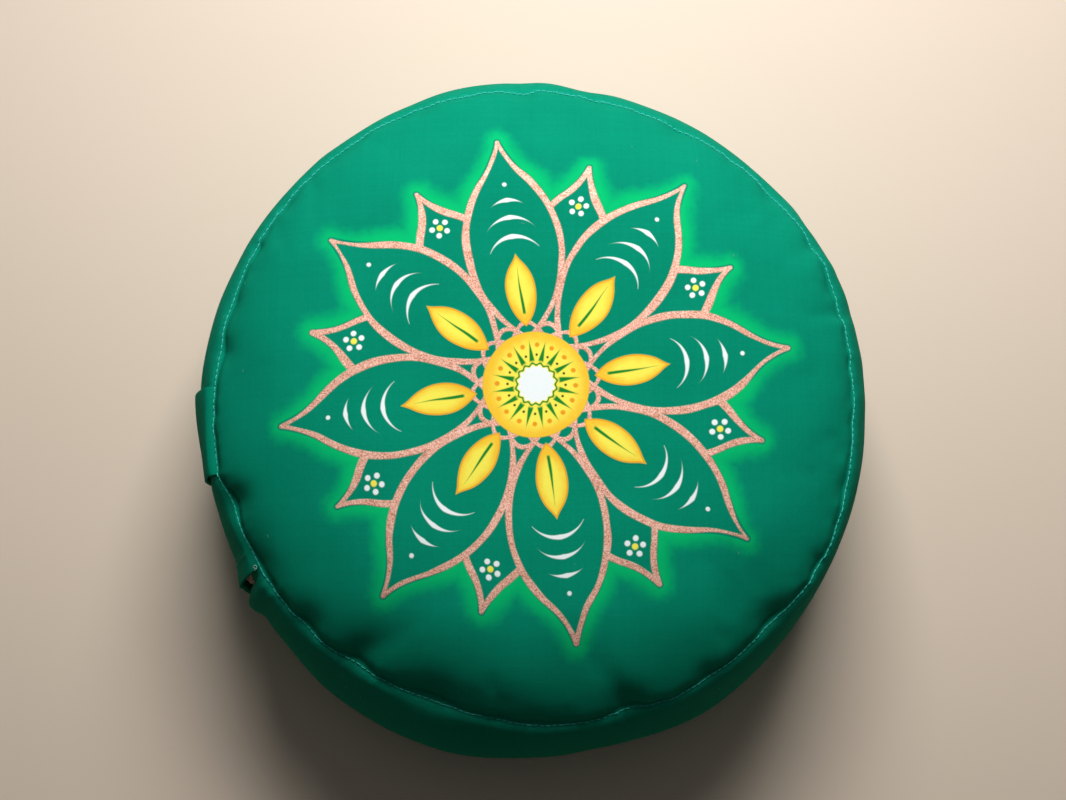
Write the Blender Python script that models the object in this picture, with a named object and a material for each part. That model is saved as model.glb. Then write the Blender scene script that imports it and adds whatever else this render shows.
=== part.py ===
"""A zafu: a low round meditation cushion of cotton cloth, filled through a lapped closure in its band.

The cushion is one filled solid: a crowned top panel, a band that bulges between its two seams, and a
base panel that lies flat on the floor. The seams are drawn in and puckered. On the -X side a carrying
strap lies across the band, and beside it a lap of the band covers the opening.

Metres, +Z up. The origin is on the floor, under the middle. Angles are in degrees round +Z, from +X.
"""

from collections import namedtuple

import bmesh
import bpy
import numpy as np

MM = 0.001

# The filled cushion
SEAM_HEIGHT = 120 * MM  # of the seam between the top panel and the band
CROWN = 32 * MM  # from the top seam up to the middle of the top panel
CROWN_POWER = 5.0  # 2 is an even dome, and more gives a flatter top with rounder shoulders
WIDEST_HEIGHT = 57 * MM  # the filling's weight brings the band's bulge below the middle
TOP_TURN = 44.0  # how far the band turns from upright at its top seam
BASE_TURN = 54.0  # and at its base seam
BASE_SEAM_RADIUS = 158 * MM
BASE_SEAM_HEIGHT = 10 * MM
BASE_FLAT_RADIUS = 146 * MM  # what lies flat on the floor
BASE_LIFT_POWER = 1.6  # how the base panel leaves the floor
CREASE_DEPTH = 1.2 * MM
CREASE_WIDTH = 3.0 * MM

# The outline, in millimetres, in even steps from +X: the top seam, and the band where it is widest.
OutlineRow = namedtuple("OutlineRow", "seam widest")
OUTLINE = [
    OutlineRow(161.0, 175.0),
    OutlineRow(162.0, 177.2),
    OutlineRow(163.0, 176.3),
    OutlineRow(160.5, 176.0),
    OutlineRow(159.5, 176.5),
    OutlineRow(159.0, 176.8),
    OutlineRow(161.0, 178.5),
    OutlineRow(162.0, 179.5),
    OutlineRow(162.0, 177.9),
    OutlineRow(162.0, 177.0),
    OutlineRow(161.5, 177.0),
    OutlineRow(161.0, 176.0),
    OutlineRow(160.0, 176.5),
    OutlineRow(162.0, 174.0),
    OutlineRow(159.0, 175.4),
    OutlineRow(160.0, 178.5),
    OutlineRow(157.0, 182.0),
    OutlineRow(157.5, 183.6),
    OutlineRow(160.5, 180.5),
    OutlineRow(161.5, 179.3),
    OutlineRow(162.5, 180.8),
    OutlineRow(161.5, 178.0),
    OutlineRow(165.0, 175.5),
    OutlineRow(162.0, 175.5),
]

# Soft dents in the band: where each is, how deep, and its half width round the band, in millimetres.
Dent = namedtuple("Dent", "angle depth width")
DENTS = [Dent(33.0, 2.3, 8), Dent(81.0, 3.0, 12), Dent(112.0, 0.8, 10), Dent(189.0, 1.3, 16)]

# The puckers along the top seam: where each is, how deep it sinks, how far it reaches in over the top
# panel, its half width along the seam, and how far it pulls the seam in, in millimetres.
Pucker = namedtuple("Pucker", "angle depth reach width pull")
TOP_PUCKERS = [
    Pucker(0.5, 1.8, 14, 7, -1.2),
    Pucker(8.0, 1.4, 12, 6, -0.8),
    Pucker(16.0, 1.0, 11, 4, 1.2),
    Pucker(20.5, 2.4, 15, 6, -0.6),
    Pucker(24.5, 1.6, 12, 4, -1.2),
    Pucker(29.0, 1.0, 10, 5, 0.8),
    Pucker(40.5, 1.4, 13, 7, 0.2),
    Pucker(61.5, 1.6, 13, 8, 0.4),
    Pucker(76.5, 1.4, 12, 7, -0.2),
    Pucker(92.0, 1.6, 13, 7, 1.6),
    Pucker(111.0, 1.0, 13, 7, 0.0),
    Pucker(130.0, 1.4, 13, 6, -0.6),
    Pucker(141.0, 1.6, 13, 6, -0.2),
    Pucker(151.0, 1.8, 14, 7, -0.4),
    Pucker(162.0, 2.2, 16, 7, -0.2),
    Pucker(171.5, 3.0, 20, 8, 0.0),
    Pucker(199.0, 3.4, 26, 9, 1.4),
    Pucker(212.0, 2.4, 22, 9, -1.2),
    Pucker(225.0, 2.4, 24, 9, 0.6),
    Pucker(236.0, 3.4, 26, 9, 0.4),
    Pucker(251.5, 3.6, 28, 14, -1.0),
    Pucker(270.5, 1.6, 16, 8, -0.8),
    Pucker(287.0, 3.0, 22, 9, 1.4),
    Pucker(302.0, 1.6, 15, 7, 0.4),
    Pucker(317.5, 3.2, 22, 9, -0.8),
    Pucker(330.0, 1.8, 15, 7, 0.2),
    Pucker(344.0, 1.8, 15, 7, -0.2),
]
BASE_PUCKER_COUNT = 19
BASE_PUCKER = Pucker(4.0, 1.8, 18, 8, 0.8)  # the first one's angle, and each one's size
PUCKER_PEAK = 4.5 * MM  # how far in from the seam a pucker is deepest
INNER_SHARE = 0.5  # how fast it fades over the panel, as a share of its reach
BAND_REACH = 7 * MM  # how far it reaches down the band
PULL_REACH = 16 * MM  # how far over the panel the pull of a pucker is felt

# The closure: the band's end lies in a recess under the lap, and the edge beyond it is folded thick.
LAP_THICKNESS = 2.0 * MM
LAP_ROOT = 195.0
LAP_EDGE = 211.6
LAP_ROOT_GAP = 0.2  # in degrees, between the recess's end and the lap's root
LAP_LIFT_FROM = 207.2  # where the lap begins to leave the cushion
LAP_MOUTH_GAP = 4.6 * MM
RECESS_END = 213.5
RECESS_STEP = 0.8  # how many degrees the recess takes to reach its depth
MOUTH_DEPTH = 3.0 * MM  # how much deeper the recess is behind the free edge
MOUTH_FROM = 207.5  # where it begins to deepen
FOLD_RISE = 4.4 * MM
FOLD_TOP = 214.9
FOLD_END = 218.4

# The carrying strap
STRAP_ANGLE = 185.5
STRAP_WIDTH = 44 * MM
STRAP_THICKNESS = 1.6 * MM
STRAP_EDGE_LIFT = 1.2 * MM  # its edges stand off, because it is flat across the round band

# Both sewn-on pieces follow the band, from just above the base seam to just below the top one.
PIECE_GAP = 0.5 * MM
PIECE_ENDS = (0.02, 0.98)  # as shares of the band's turn from seam to seam

# How finely the solids are divided
AROUND = 132
CLOSURE_ANGLES = (192.6, 221.5)
CLOSURE_STEP = 0.8
PANEL_ROWS = (0.3, 0.54, 0.68, 0.78, 0.86, 0.915, 0.958, 0.983)  # as shares of the seam's radius
BAND_ROWS = (0.98, 0.94, 0.87, 0.77, 0.66, 0.55, 0.44, 0.33, 0.22, 0.12, 0.06, 0.02)  # of its turn
BASE_ROWS = (0.8, 0.5, 0.22)  # shares of the way from the flat part out to the base seam
LAP_COLUMNS = 12
STRAP_COLUMNS = 6

# Colours, in linear red, green and blue
COTTON_GREEN = (0.003, 0.246, 0.152, 1.0)
STRAP_GREEN = (0.003, 0.215, 0.145, 1.0)
LAP_GREEN = (0.003, 0.195, 0.125, 1.0)
COTTON_ROUGHNESS = 0.85


def smooth_step(low, high, value):
    """0 below low and 1 above high, with an even curve between."""
    share = np.clip((value - low) / (high - low), 0, 1)
    return share * share * (3 - 2 * share)


def outline(column, angle):
    """A column of OUTLINE at any angle, in metres, on a smooth closed curve through its rows."""
    values = np.array([getattr(row, column) for row in OUTLINE]) * MM
    place = np.asarray(angle) / 360 * len(values)
    row = np.floor(place).astype(int)
    t = place - row
    before, start, end, after = (values[(row + k) % len(values)] for k in (-1, 0, 1, 2))
    slope_in, slope_out = (end - before) / 2, (after - start) / 2
    ease = t * t * (3 - 2 * t)
    return start + (end - start) * ease + slope_in * t * (1 - t) ** 2 - slope_out * t * t * (1 - t)


def closure_relief(angle):
    """How far the band stands out from its outline at the closure: less under the lap, more at the fold."""
    depth = LAP_THICKNESS + PIECE_GAP
    inside = smooth_step(LAP_ROOT - RECESS_STEP, LAP_ROOT, angle) * smooth_step(
        RECESS_END, RECESS_END - RECESS_STEP, angle
    )
    mouth = MOUTH_DEPTH * smooth_step(MOUTH_FROM, LAP_EDGE, angle)
    fold = smooth_step(RECESS_END - RECESS_STEP / 2, FOLD_TOP, angle) * smooth_step(
        FOLD_END, FOLD_TOP, angle
    )
    return FOLD_RISE * fold - (depth + mouth) * inside


def around(angle, place):
    """1 at a dent's or a pucker's angle, fading round the cushion over its half width."""
    apart = (angle - place.angle + 180) % 360 - 180
    return np.exp(-((np.radians(apart) * BASE_SEAM_RADIUS / (place.width * MM)) ** 2))


def pulled_in(angle, puckers):
    """How far the puckers pull their seam towards the middle."""
    return sum(p.pull * MM * around(angle, p) for p in puckers)


def band_point(angle, share):
    """A point of the band at a share of the way up from its base seam, without creases or puckers."""
    turn = share * TOP_TURN - (1 - share) * BASE_TURN
    above = turn > 0
    limit = np.radians(np.where(above, TOP_TURN, BASE_TURN))
    top_seam = outline("seam", angle) - pulled_in(angle, TOP_PUCKERS)
    seam_radius = np.where(above, top_seam, BASE_SEAM_RADIUS - pulled_in(angle, base_puckers()))
    seam_rise = np.where(above, SEAM_HEIGHT - WIDEST_HEIGHT, WIDEST_HEIGHT - BASE_SEAM_HEIGHT)
    out = (np.cos(np.radians(turn)) - np.cos(limit)) / (1 - np.cos(limit))
    dented = sum(d.depth * MM * around(angle, d) for d in DENTS)
    widest = outline("widest", angle) - dented + closure_relief(angle)
    radius = seam_radius + (widest - seam_radius) * out
    height = WIDEST_HEIGHT + seam_rise * np.sin(np.radians(turn)) / np.sin(limit)
    return at_angle(angle, radius, height)


def panel_point(angle, share):
    """A point of the top panel at a share of the way out to its seam."""
    seam_radius = outline("seam", angle)
    pull = pulled_in(angle, TOP_PUCKERS) * np.exp(-((seam_radius * (1 - share) / PULL_REACH) ** 2))
    height = SEAM_HEIGHT + CROWN * (1 - share**CROWN_POWER)
    return at_angle(angle, seam_radius * share - pull, height)


def base_point(angle, share):
    """A point of the base panel, from the edge of its flat part at 0 to its seam at 1."""
    pull = pulled_in(angle, base_puckers()) * share
    radius = BASE_FLAT_RADIUS + (BASE_SEAM_RADIUS - BASE_FLAT_RADIUS) * share - pull
    height = BASE_SEAM_HEIGHT * share**BASE_LIFT_POWER
    return at_angle(angle, radius, height)


def at_angle(angle, radius, height):
    """The point, or the points, at an angle round the axis, a distance from it and a height."""
    turn, radius, height = np.broadcast_arrays(np.radians(angle), radius, height)
    return np.stack([radius * np.cos(turn), radius * np.sin(turn), height], axis=-1)


def puckered(angle, distance, puckers):
    """How deep the cloth sinks, where distance is along it from the seam, and negative on the panel."""
    depth = np.zeros(np.broadcast_shapes(angle.shape, distance.shape))
    for p in puckers:
        inner = np.where(distance < -PUCKER_PEAK, INNER_SHARE * p.reach * MM, PUCKER_PEAK)
        on_panel = np.exp(-(((distance + PUCKER_PEAK) / inner) ** 2))
        on_band = np.exp(-1 - (distance / BAND_REACH) ** 2)
        depth += p.depth * MM * around(angle, p) * np.where(distance < 0, on_panel, on_band)
    return depth


def base_puckers():
    """The base seam's puckers, at even steps."""
    step = 360 / BASE_PUCKER_COUNT
    return [BASE_PUCKER._replace(angle=BASE_PUCKER.angle + k * step) for k in range(BASE_PUCKER_COUNT)]


def ring_angles():
    """Even steps round the cushion, and closer ones at the closure, where the cloth folds sharply."""
    first, last = CLOSURE_ANGLES
    even = np.arange(0, 360, 360 / AROUND)
    close = np.arange(first, last, CLOSURE_STEP)
    return np.sort(np.concatenate([even[(even < first) | (even > last)], close]))


def cloth_grid():
    """The cushion's surface from near the middle of the top to the flat of the base: rows of rings."""
    angles = ring_angles()
    rows = [panel_point(angles, share) for share in PANEL_ROWS]
    seam_row = len(rows)
    rows += [band_point(angles, share) for share in (1, *BAND_ROWS, 0)]
    base_row = len(rows) - 1
    rows += [base_point(angles, share) for share in (*BASE_ROWS, 0)]
    grid = np.array(rows)
    normals = grid_normals(grid)
    steps = np.linalg.norm(np.diff(grid, axis=0), axis=2)
    along = np.concatenate([np.zeros((1, len(angles))), np.cumsum(steps, axis=0)])
    for row, side, puckers in ((seam_row, 1, TOP_PUCKERS), (base_row, -1, base_puckers())):
        distance = side * (along - along[row])
        crease = CREASE_DEPTH * np.exp(-((distance / CREASE_WIDTH) ** 2))
        sunk = crease + puckered(angles[None, :], distance, puckers)
        grid[:-1] -= (normals * sunk[..., None])[:-1]  # the last ring stays flat on the floor
    return grid


def grid_normals(grid):
    """Unit normals of a closed grid of rings, pointing out of the cushion."""
    round_it = np.roll(grid, -1, axis=1) - np.roll(grid, 1, axis=1)
    down_it = np.gradient(grid, axis=0)
    normals = np.cross(down_it, round_it)
    return normals / np.linalg.norm(normals, axis=2, keepdims=True)


def cushion_mesh():
    """The filled solid: the cloth grid, closed by a fan at the crown and one flat face on the floor."""
    bm = bmesh.new()
    rings = [[bm.verts.new(point) for point in ring] for ring in cloth_grid()]
    for upper, lower in zip(rings, rings[1:]):
        for k in range(len(upper)):
            after = (k + 1) % len(upper)
            bm.faces.new((upper[k], lower[k], lower[after], upper[after]))
    crown = bm.verts.new((0, 0, SEAM_HEIGHT + CROWN))
    for k, vert in enumerate(rings[0]):
        bm.faces.new((crown, vert, rings[0][(k + 1) % len(rings[0])]))
    bm.faces.new(rings[-1][::-1])
    return bm


def sewn_piece_mesh(columns):
    """A grid of cloth lying on the band, from its columns of points, with its faces pointing outwards."""
    bm = bmesh.new()
    lines = [[bm.verts.new(point) for point in column] for column in columns]
    for left, right in zip(lines, lines[1:]):
        for k in range(len(left) - 1):
            bm.faces.new((left[k], right[k], right[k + 1], left[k + 1]))
    return bm


def piece_rows():
    """The shares of the band's turn at which a sewn-on piece has its rows, from low to high."""
    low, high = PIECE_ENDS
    inner = [share for share in reversed(BAND_ROWS) if low + 0.01 < share < high - 0.01]
    return np.array([low, *inner, high])


def lap_columns():
    """The lap's inner face: close on the cushion at its root, and lifted at its free edge."""
    rows = piece_rows()
    columns = []
    for angle in np.linspace(LAP_ROOT + LAP_ROOT_GAP, LAP_EDGE, LAP_COLUMNS):
        towards_edge = np.clip((angle - LAP_LIFT_FROM) / (LAP_EDGE - LAP_LIFT_FROM), 0, 1)
        lift = LAP_MOUTH_GAP * towards_edge * np.sin(np.pi * rows) ** 0.7
        columns.append(lifted(np.full(len(rows), angle), rows, PIECE_GAP + lift))
    return columns


def strap_columns():
    """The strap's inner face: it touches along its middle, and its edges stand off the round band."""
    rows = piece_rows()
    radius = np.linalg.norm(band_point(STRAP_ANGLE, rows)[:, :2], axis=1)
    columns = []
    for across in np.linspace(-1, 1, STRAP_COLUMNS + 1):
        angle = STRAP_ANGLE + np.degrees(np.arcsin(across * STRAP_WIDTH / 2 / radius))
        edge_lift = STRAP_EDGE_LIFT * across**2 * np.sin(np.pi * rows) ** 0.5
        columns.append(lifted(angle, rows, PIECE_GAP + edge_lift))
    return columns


def lifted(angle, rows, lift):
    """Points of the band at these angles and rows, moved straight out from it by lift."""
    small = 1e-3
    point = band_point(angle, rows)
    round_it = band_point(angle + small, rows) - band_point(angle - small, rows)
    up_it = band_point(angle, rows + small) - band_point(angle, rows - small)
    out = np.cross(round_it, up_it)
    return point + out / np.linalg.norm(out, axis=1, keepdims=True) * lift[:, None]


def cotton(name, colour):
    material = bpy.data.materials.new(name)
    material.use_nodes = True
    shader = material.node_tree.nodes["Principled BSDF"]
    shader.inputs["Base Color"].default_value = colour
    shader.inputs["Roughness"].default_value = COTTON_ROUGHNESS
    shader.inputs["Metallic"].default_value = 0.0
    material.diffuse_color = colour
    return material


def add_object(name, bm, material):
    mesh = bpy.data.meshes.new(name)
    bm.to_mesh(mesh)
    bm.free()
    mesh.shade_smooth()
    mesh.materials.append(material)
    obj = bpy.data.objects.new(name, mesh)
    bpy.context.scene.collection.objects.link(obj)
    return obj


def thicken(obj, thickness):
    """Gives a sheet its thickness, outwards from its inner face."""
    solid = obj.modifiers.new("thickness", "SOLIDIFY")
    solid.thickness = thickness
    solid.offset = 1.0
    solid.use_even_offset = True


def main():
    for obj in list(bpy.data.objects):
        bpy.data.objects.remove(obj)
    add_object("cushion", cushion_mesh(), cotton("cotton_body", COTTON_GREEN))
    strap = add_object(
        "carry_strap", sewn_piece_mesh(strap_columns()), cotton("cotton_strap", STRAP_GREEN)
    )
    thicken(strap, STRAP_THICKNESS)
    lap = add_object("closure_lap", sewn_piece_mesh(lap_columns()), cotton("cotton_lap", LAP_GREEN))
    thicken(lap, LAP_THICKNESS)


main()
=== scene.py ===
# %% [markdown]
# # A green zafu
#
# A zafu is a low round cushion for sitting in meditation. This one is sewn of three pieces of green cotton,
# a top, a band and a base, and filled until its sides bulge. A rosette is painted on the top, a strap to
# carry it by lies across the band, and beside the strap one end of the band laps over the other and closes
# the opening for the filling.
#
# The solids of the cushion, the strap and the lap are made elsewhere. This file dresses them.
# It works in metres with +Z up and the floor at 0, like the solids, and angles run round +Z from +X.

# %% Load the solids
import math

import bmesh
import bpy
import numpy as np
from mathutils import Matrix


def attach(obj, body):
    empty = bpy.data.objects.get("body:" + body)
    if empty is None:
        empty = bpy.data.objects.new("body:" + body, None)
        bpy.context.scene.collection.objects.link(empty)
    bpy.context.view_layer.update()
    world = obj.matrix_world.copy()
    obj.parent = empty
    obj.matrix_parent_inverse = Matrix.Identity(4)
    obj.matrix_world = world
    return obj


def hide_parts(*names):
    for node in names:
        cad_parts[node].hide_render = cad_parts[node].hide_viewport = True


MM = 0.001
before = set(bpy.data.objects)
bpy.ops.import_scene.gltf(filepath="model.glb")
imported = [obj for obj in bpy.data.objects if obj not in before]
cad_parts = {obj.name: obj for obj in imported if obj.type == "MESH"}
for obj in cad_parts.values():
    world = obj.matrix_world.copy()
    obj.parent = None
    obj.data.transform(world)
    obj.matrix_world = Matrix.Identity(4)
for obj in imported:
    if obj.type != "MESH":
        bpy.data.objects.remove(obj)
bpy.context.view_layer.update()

# %% [markdown]
# ## The camera
#
# The camera stands over the cushion and is tipped a little, so that a bit more of the near side of the band
# shows than of the far side. How far the band shows past the top seam on each side gives both the distance
# and the tilt. The camera aims about at the middle of the top seam's circle. The plain sRGB view keeps the
# dyed green as full as it is, where Blender's usual one would wash it out.

# %% Camera
AIM_HEIGHT = 118 * MM
LENS = 50.0
SENSOR_WIDTH = 36.0
CAMERA_DISTANCE = 0.74
CAMERA_TILT = math.radians(7.5)


def new_object(name, data):
    """An object in the scene that shows its data, such as a mesh, a curve, a lamp or a camera."""
    obj = bpy.data.objects.new(name, data)
    bpy.context.scene.collection.objects.link(obj)
    return obj


def add_camera():
    data = bpy.data.cameras.new("camera")
    data.lens, data.sensor_width = LENS, SENSOR_WIDTH
    camera = new_object("camera", data)
    back, rise = CAMERA_DISTANCE * math.sin(CAMERA_TILT), CAMERA_DISTANCE * math.cos(CAMERA_TILT)
    camera.location = (0, -back, AIM_HEIGHT + rise)
    camera.rotation_euler = (CAMERA_TILT, 0, 0)
    bpy.context.scene.camera = camera
    bpy.context.scene.view_settings.view_transform = "Standard"
    return camera


print("camera at", list(add_camera().location))

# %% [markdown]
# ## Wiring nodes with Python
#
# Materials and Geometry Nodes are both graphs of nodes. Writing every link by hand hides the idea, so one
# small class wraps an output socket. Adding or multiplying two of these adds the Math nodes, which lets a
# pattern be written as a formula. Every other node comes from `node`: its type, its settings, its inputs.


# %% The wire class
class Wire:
    """An output socket of a node tree, or with no socket the tree itself, which only adds nodes."""

    def __init__(self, tree, socket=None):
        self.tree, self.socket = tree, socket

    def node(self, kind, settings=None, inputs=None, output=0):
        """Adds a node, gives it its settings, then its inputs' values or links, and wraps one output."""
        made = self.tree.nodes.new(kind)
        settings = dict(settings or {})
        stops = settings.pop("stops", [])
        for name, value in settings.items():
            setattr(made, name, value)
        for k, (place, colour) in enumerate(stops):
            ramp = made.color_ramp.elements
            stop = ramp[k] if k < len(ramp) else ramp.new(place)
            stop.position, stop.color = place, (*colour, 1.0)
        for name, value in (inputs or {}).items():
            if isinstance(value, Wire):
                self.tree.links.new(value.socket, made.inputs[name])
            else:
                made.inputs[name].default_value = value
        return Wire(self.tree, made.outputs[output]) if len(made.outputs) else Wire(self.tree)

    def other(self, output):
        """Another output of the same node."""
        return Wire(self.tree, self.socket.node.outputs[output])

    def math(self, operation, *values):
        """One Math node on these values."""
        return self.node("ShaderNodeMath", {"operation": operation}, dict(enumerate(values)))

    def __add__(self, value):
        return self.math("ADD", self, value)

    def __sub__(self, value):
        return self.math("SUBTRACT", self, value)

    def __rsub__(self, value):
        return self.math("SUBTRACT", value, self)

    def __mul__(self, value):
        return self.math("MULTIPLY", self, value)

    def __truediv__(self, value):
        return self.math("DIVIDE", self, value)

    def __pow__(self, value):
        return self.math("POWER", self, value)

    def __gt__(self, value):
        return self.math("GREATER_THAN", self, value)

    def __abs__(self):
        return self.math("ABSOLUTE", self)

    __radd__, __rmul__ = __add__, __mul__

    def smallest(self, value):
        return self.math("MINIMUM", self, value)

    def largest(self, value):
        return self.math("MAXIMUM", self, value)

    def sine(self):
        return self.math("SINE", self)

    def cosine(self):
        return self.math("COSINE", self)

    def step(self, low, high):
        """0 where this is below low and 1 above high, or the other way round if low is the larger."""
        ends = {"From Min": min(low, high), "From Max": max(low, high)}
        ends |= {"To Min": float(low > high), "To Max": float(high > low)}
        return self.node("ShaderNodeMapRange", {"interpolation_type": "SMOOTHSTEP"}, {"Value": self, **ends})

    def choose(self, if_one, if_nought):
        """if_one where this mask is 1, and if_nought where it is 0. Both are numbers, on sockets 2 and 3."""
        return self.node("ShaderNodeMix", {"data_type": "FLOAT"}, {0: self, 2: if_nought, 3: if_one})

    def paint(self, under, over):
        """The colour over laid on the colour under, where this mask is 1. Sockets 6 and 7 are the colours."""
        colours = [c if isinstance(c, Wire) else (*c, 1.0) for c in (under, over)]
        inputs = {0: self, 6: colours[0], 7: colours[1]}
        return self.node("ShaderNodeMix", {"data_type": "RGBA"}, inputs, output=2)


# %% [markdown]
# ## The shape of the cushion
#
# The cover is drawn from a few real measures and three short tables. The first gives, at even steps round
# the cushion, how far out the top seam lies and how far out the band bulges. The next lists soft dents in
# the band. The last lists the puckers: hand filling and hand sewing leave the seam drawn in at some places,
# and from each a soft hollow runs in over the top. These are the measures of the solids, so that the finer
# cover fits them. Only where a pucker is deepest and how the lap's edge lifts are set a little finer here.

# %% Measures of the cushion
SEAM_HEIGHT = 120 * MM
CROWN = 32 * MM
TOP_REACH = 161 * MM  # the top seam's radius, evenly
CROWN_POWER = 5.0  # 2 is an even dome, and more gives a flatter top with rounder shoulders
WIDEST_HEIGHT = 57 * MM
TOP_TURN, BASE_TURN = 44.0, 54.0  # how far the band turns from upright at its two seams
BASE_SEAM_RADIUS, BASE_SEAM_HEIGHT = 158 * MM, 10 * MM
BASE_FLAT_RADIUS = 146 * MM
BASE_LIFT_POWER = 1.6  # how softly the base leaves the floor
CREASE_DEPTH, CREASE_WIDTH = 1.2 * MM, 3.0 * MM
SEAM_OUTLINE = np.array(
    [161, 162, 163, 160.5, 159.5, 159, 161, 162, 162, 162, 161.5, 161]
    + [160, 162, 159, 160, 157, 157.5, 160.5, 161.5, 162.5, 161.5, 165, 162]
)
WIDEST_OUTLINE = np.array(
    [175, 177.2, 176.3, 176, 176.5, 176.8, 178.5, 179.5, 177.9, 177, 177, 176]
    + [176.5, 174, 175.4, 178.5, 182, 183.6, 180.5, 179.3, 180.8, 178, 175.5, 175.5]
)
# Soft dents in the band: the angle, the depth and the half width of each.
DENTS = [(33.0, 2.3, 8), (81.0, 3.0, 12), (112.0, 0.8, 10), (189.0, 1.3, 16)]
# Each pucker: its angle, its depth, its reach over the top or the base, its half width, and how far it pulls
# the seam in, all in mm but the angle. Those of the base aren't seen, so they are even.
TOP_PUCKERS = [
    (0.5, 1.8, 14, 7, -1.2), (8.0, 1.4, 12, 6, -0.8), (16.0, 1.0, 11, 4, 1.2), (20.5, 2.4, 15, 6, -0.6),
    (24.5, 1.6, 12, 4, -1.2), (29.0, 1.0, 10, 5, 0.8), (40.5, 1.4, 13, 7, 0.2), (61.5, 1.6, 13, 8, 0.4),
    (76.5, 1.4, 12, 7, -0.2), (92.0, 1.6, 13, 7, 1.6), (111.0, 1.0, 13, 7, 0), (130.0, 1.4, 13, 6, -0.6),
    (141.0, 1.6, 13, 6, -0.2), (151.0, 1.8, 14, 7, -0.4), (162.0, 2.2, 16, 7, -0.2), (171.5, 3.0, 20, 8, 0),
    (199.0, 3.4, 26, 9, 1.4), (212.0, 2.4, 22, 9, -1.2), (225.0, 2.4, 24, 9, 0.6), (236.0, 3.4, 26, 9, 0.4),
    (251.5, 3.6, 28, 14, -1.0), (270.5, 1.6, 16, 8, -0.8), (287.0, 3.0, 22, 9, 1.4), (302.0, 1.6, 15, 7, 0.4),
    (317.5, 3.2, 22, 9, -0.8), (330.0, 1.8, 15, 7, 0.2), (344.0, 1.8, 15, 7, -0.2),
]  # fmt: skip
BASE_PUCKER_COUNT = 19
BASE_PUCKERS = [(4.0 + k * 360 / BASE_PUCKER_COUNT, 1.8, 18, 8, 0.8) for k in range(BASE_PUCKER_COUNT)]
DEEPEST, INNER_SHARE, BAND_REACH = 3.5 * MM, 0.5, 7 * MM  # where a pucker is deepest, and how it fades
PULL_REACH = 16 * MM  # how far in over a panel a pucker's pull is felt
print(len(TOP_PUCKERS), "puckers at the top seam,", len(BASE_PUCKERS), "at the base seam")

# %% Measures of the closure
# The angles are in degrees: the lap runs from its root to its edge, over a recess that ends in a thick fold.
LAP_THICKNESS = 2.0 * MM
LAP_ROOT, LAP_EDGE = 195.0, 211.6
LAP_LIFT_FROM, LAP_LIFT_POWER, LAP_MOUTH_GAP = 207.2, 1.25, 4.6 * MM
RECESS_END, RECESS_STEP = 213.5, 0.8
MOUTH_FROM, MOUTH_DEPTH = 207.5, 3.0 * MM
FOLD_RISE, FOLD_TOP, FOLD_END = 4.4 * MM, 214.9, 218.4
PIECE_GAP = 0.5 * MM  # between the cover and a piece that lies on it


# %% Points of the band, the top and the base
def smooth_step(low, high, value):
    """0 below low and 1 above high, with an even curve between."""
    share = np.clip((value - low) / (high - low), 0, 1)
    return share * share * (3 - 2 * share)


def bell(distance, width):
    """1 at no distance, fading evenly on both sides to nearly nothing at twice the width."""
    return np.exp(-((distance / width) ** 2))


def curve_between(before, start, end, after, t):
    """The value a share t of the way from start to end, on a smooth curve through all four values."""
    slope_in, slope_out = (end - before) / 2, (after - start) / 2
    ease = t * t * (3 - 2 * t)
    return start + (end - start) * ease + slope_in * t * (1 - t) ** 2 - slope_out * t * t * (1 - t)


def outline(values, angle):
    """A radius read from a table of even steps, on a smooth closed curve through its values."""
    place = np.asarray(angle) / 360 * len(values)
    row = np.floor(place).astype(int)
    near = [values[(row + k) % len(values)] * MM for k in (-1, 0, 1, 2)]
    return curve_between(*near, place - row)


def closure_relief(angle):
    """How far the band stands out at the closure: less under the lap, and more at the folded end."""
    recess = smooth_step(LAP_ROOT - RECESS_STEP, LAP_ROOT, angle)
    recess = recess * smooth_step(RECESS_END, RECESS_END - RECESS_STEP, angle)
    fold = smooth_step(RECESS_END - RECESS_STEP / 2, FOLD_TOP, angle)
    fold = fold * smooth_step(FOLD_END, FOLD_TOP, angle)
    mouth = MOUTH_DEPTH * smooth_step(MOUTH_FROM, LAP_EDGE, angle)
    return FOLD_RISE * fold - (LAP_THICKNESS + PIECE_GAP + mouth) * recess


def around_pucker(angle, at, width):
    """1 at a pucker's angle, fading along the seam over its half width."""
    along_seam = np.radians((angle - at + 180) % 360 - 180) * BASE_SEAM_RADIUS
    return bell(along_seam, width * MM)


def pulled_in(angle, puckers):
    """How far the puckers pull their seam towards the middle."""
    return sum(pull * MM * around_pucker(angle, at, width) for at, _, _, width, pull in puckers)


def at_angle(angle, radius, height):
    """Points from their angles, their distances from the middle line and their heights."""
    turn, radius, height = np.broadcast_arrays(np.radians(angle), radius, height)
    return np.stack([radius * np.cos(turn), radius * np.sin(turn), height], axis=-1)


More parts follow.
